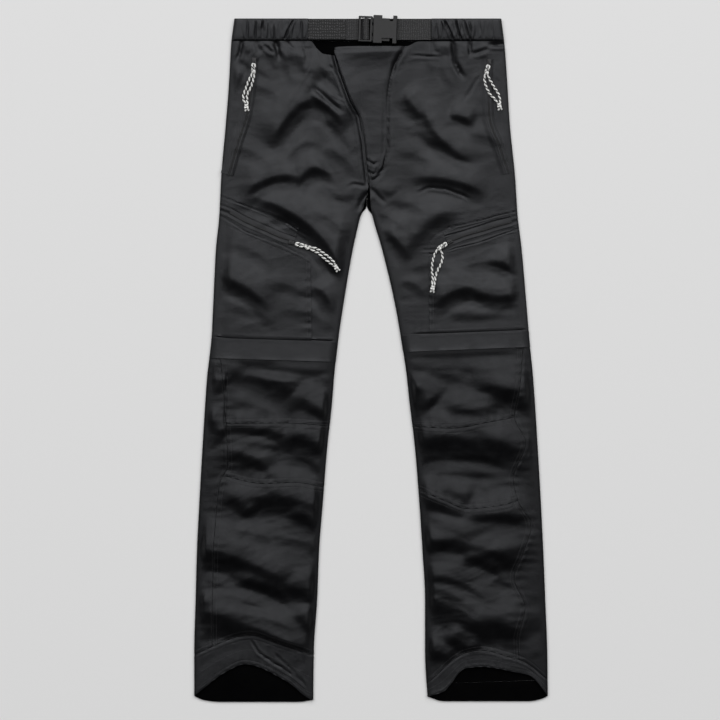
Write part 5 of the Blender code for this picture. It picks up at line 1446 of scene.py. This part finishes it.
# Creases of the gathered casings: x at the top and the bottom, part of the depth from and to, depth
CASING_CREASES = {
    "right": [(-198, -195, 0, 1, 0.7), (-189, -187, 0, 1, 0.9), (-176, -175, 0, 1, 1.0),
              (-164, -170, 0, 0.4, 1.4), (-158, -157, 0.3, 1, 0.6), (-147, -148, 0.4, 1, 1.1),
              (-137, -136, 0, 0.5, 0.5), (-118, -132, 0.1, 0.85, 1.8), (-107, -104, 0, 1, 0.8)],
    "left": [(98, 101, 0, 1, 0.6), (106, 108, 0.2, 0.8, 0.6), (111, 125, 0, 1, 1.8),
             (128, 137, 0, 1, 1.7), (139, 152, 0, 0.9, 1.3), (150, 151, 0.3, 1, 1.2),
             (166, 168, 0, 0.6, 0.6), (184, 187, 0, 1, 0.9), (192, 193, 0.2, 1, 0.6)],
}


def casing_creases(word, x, share):
    """Relief of the creases of one casing: a groove between two low ridges."""
    total = np.zeros_like(x)
    for top, bottom, start, end, deep in CASING_CREASES[word]:
        off = x - mix(top, bottom, share) - 0.8 * np.sin(5 * share + top)
        reach = ease((share - start + 0.12) / 0.12) * ease((end + 0.12 - share) / 0.12)
        total += deep * reach * (0.55 * np.exp(-((np.abs(off) - 3.6) / 2.4) ** 2)
                                 - np.exp(-(off / 1.1) ** 2))
    return total


def band_profile(share):
    """Crown of the casing across its depth, rounded at both long edges."""
    return np.clip(1 - np.abs(2 * share - 1) ** 5, 0, 1) ** 0.5


def gather(x, share, seed):
    """Gathered cloth over elastic: uneven slanted pleats that pinch in at the stitch lines."""
    slanted = x + 5.0 * (share - 0.5) + 3.5 * noise(x / 23, share * 1.2, seed)
    wave = np.sin(2 * np.pi * slanted / 11.5 + 1.8 * noise(x / 30, share * 0.7 + 3, seed + 1))
    small = np.sin(2 * np.pi * slanted / 5.3 + 3 * noise(x / 14, share * 1.5, seed + 2))
    size = 0.75 + 0.6 * noise(x / 26, share * 0.5, seed + 3)
    pinch = 1 - 0.75 * np.exp(-((share - 0.1) / 0.05) ** 2) - 0.75 * np.exp(-((share - 0.9) / 0.05) ** 2)
    return (0.95 * wave * size + 0.35 * small) * pinch


def casing(side, open_end, seed):
    """Gathered casing of one side of the front, folded over at the side of the waist."""
    crown = band_profile(BAND_SHARES)
    swell = BAND_BULGE * crown - BAND_CROWN * (1 - crown)
    fold = side.leg.outer(BAND_DEPTHS)
    part = np.linspace(0, 1, 190)[None]
    x = mix(fold + side.inward * ROUND, open_end, part)
    wave = 0.42 * gather(x, BAND_SHARES, seed) + casing_creases(side.word, x, BAND_SHARES)
    top = 2 * BAND_HALF + swell + wave * crown * ease(part * 8)
    angle = EDGE_ANGLES[:-1][None]
    layers = []
    for inset, height in ((0.0, top), (BAND_WALL, 2 * BAND_HALF - BAND_WALL)):
        across, rise = fold_over(angle, -inset, BAND_HALF)
        if not inset:
            rise = rise + swell * np.sin(angle) ** 2
        rim = points_at(fold + side.inward * across, BAND_DEPTHS, BAND_HALF + rise)
        layers.append(np.concatenate([rim, points_at(x, BAND_DEPTHS, height)], 1))
    cloth_piece("casing_" + side.word, *layers, CLOTH, "nylon", "waistband_" + side.word, held="gathered")
    for row in (4, -5):
        stitches("stitches_casing_" + side.word, layers[0][row, 3:-2])


def back_layer(inset):
    """One face of the plain back casing, rounded up at both ends."""
    across, rise = fold_over(EDGE_ANGLES[None], -inset, BAND_HALF)
    west, east = RIGHT_OUTER(BAND_DEPTHS), LEFT_OUTER(BAND_DEPTHS)
    first, last = (points_at(x, BAND_DEPTHS, BAND_HALF - rise) for x in (west + across, east - across))
    middle = mix(west + ROUND, east - ROUND, np.linspace(0, 1, 60)[None, 1:-1])
    return np.concatenate([first, points_at(middle, BAND_DEPTHS, inset), last[:, ::-1]], 1)


for side, open_end, seed in zip(SIDES, OPEN_ENDS, (20, 30)):
    casing(side, open_end, seed)
cloth_piece("casing_back", back_layer(0.0), back_layer(BAND_WALL), CLOTH, "nylon", "waistband_back")

make_stitches()

# Carried-over solids get their own surfaces
LOOKS = {"belt_right": WEB, "belt_left": WEB, "belt_elastic": ELASTIC, "buckle_plug": PLASTIC,
         "buckle_socket": PLASTIC, "slider_hand_right": METAL, "slider_hand_left": METAL,
         "slider_thigh_right": METAL, "slider_thigh_left": METAL}
for name, look in LOOKS.items():
    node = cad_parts[name]
    node.data.materials.clear()
    node.data.materials.append(look)

# Floor
FLOOR_HALF = 30
floor_mesh = bpy.data.meshes.new("floor")
corners = [(x * FLOOR_HALF, y * FLOOR_HALF, -0.0002) for x, y in ((-1, -1), (1, -1), (1, 1), (-1, 1))]
floor_mesh.from_pydata(corners, [], [(0, 1, 2, 3)])
paper = Look("floor_paper").finish(Base_Color=(0.81, 0.81, 0.81, 1), Roughness=0.9, Specular_IOR_Level=0.1)
floor_mesh.materials.append(paper)
placed("floor", floor_mesh)

# One large soft light, aimed at the middle of the garment. It leans to the waist, so the sides of the
# folds that face the hems fall into shade
LIGHT_PLACE = Vector((0.0, 6.8, 9.66))
lamp = bpy.data.lights.new("overhead", "AREA")
lamp.shape = "RECTANGLE"
lamp.size = 23.8
lamp.size_y = 14.7
lamp.energy = 2636.0
holder = placed("overhead", lamp)
holder.location = LIGHT_PLACE
holder.rotation_mode = "QUATERNION"
holder.rotation_quaternion = (-LIGHT_PLACE).to_track_quat("-Z", "Y")
bpy.context.scene.view_settings.view_transform = "Standard"
world = bpy.data.worlds.new("studio")
world.use_nodes = True
backdrop = world.node_tree.nodes["Background"]
backdrop.inputs["Color"].default_value = (1, 1, 1, 1)
backdrop.inputs["Strength"].default_value = 0.03
bpy.context.scene.world = world
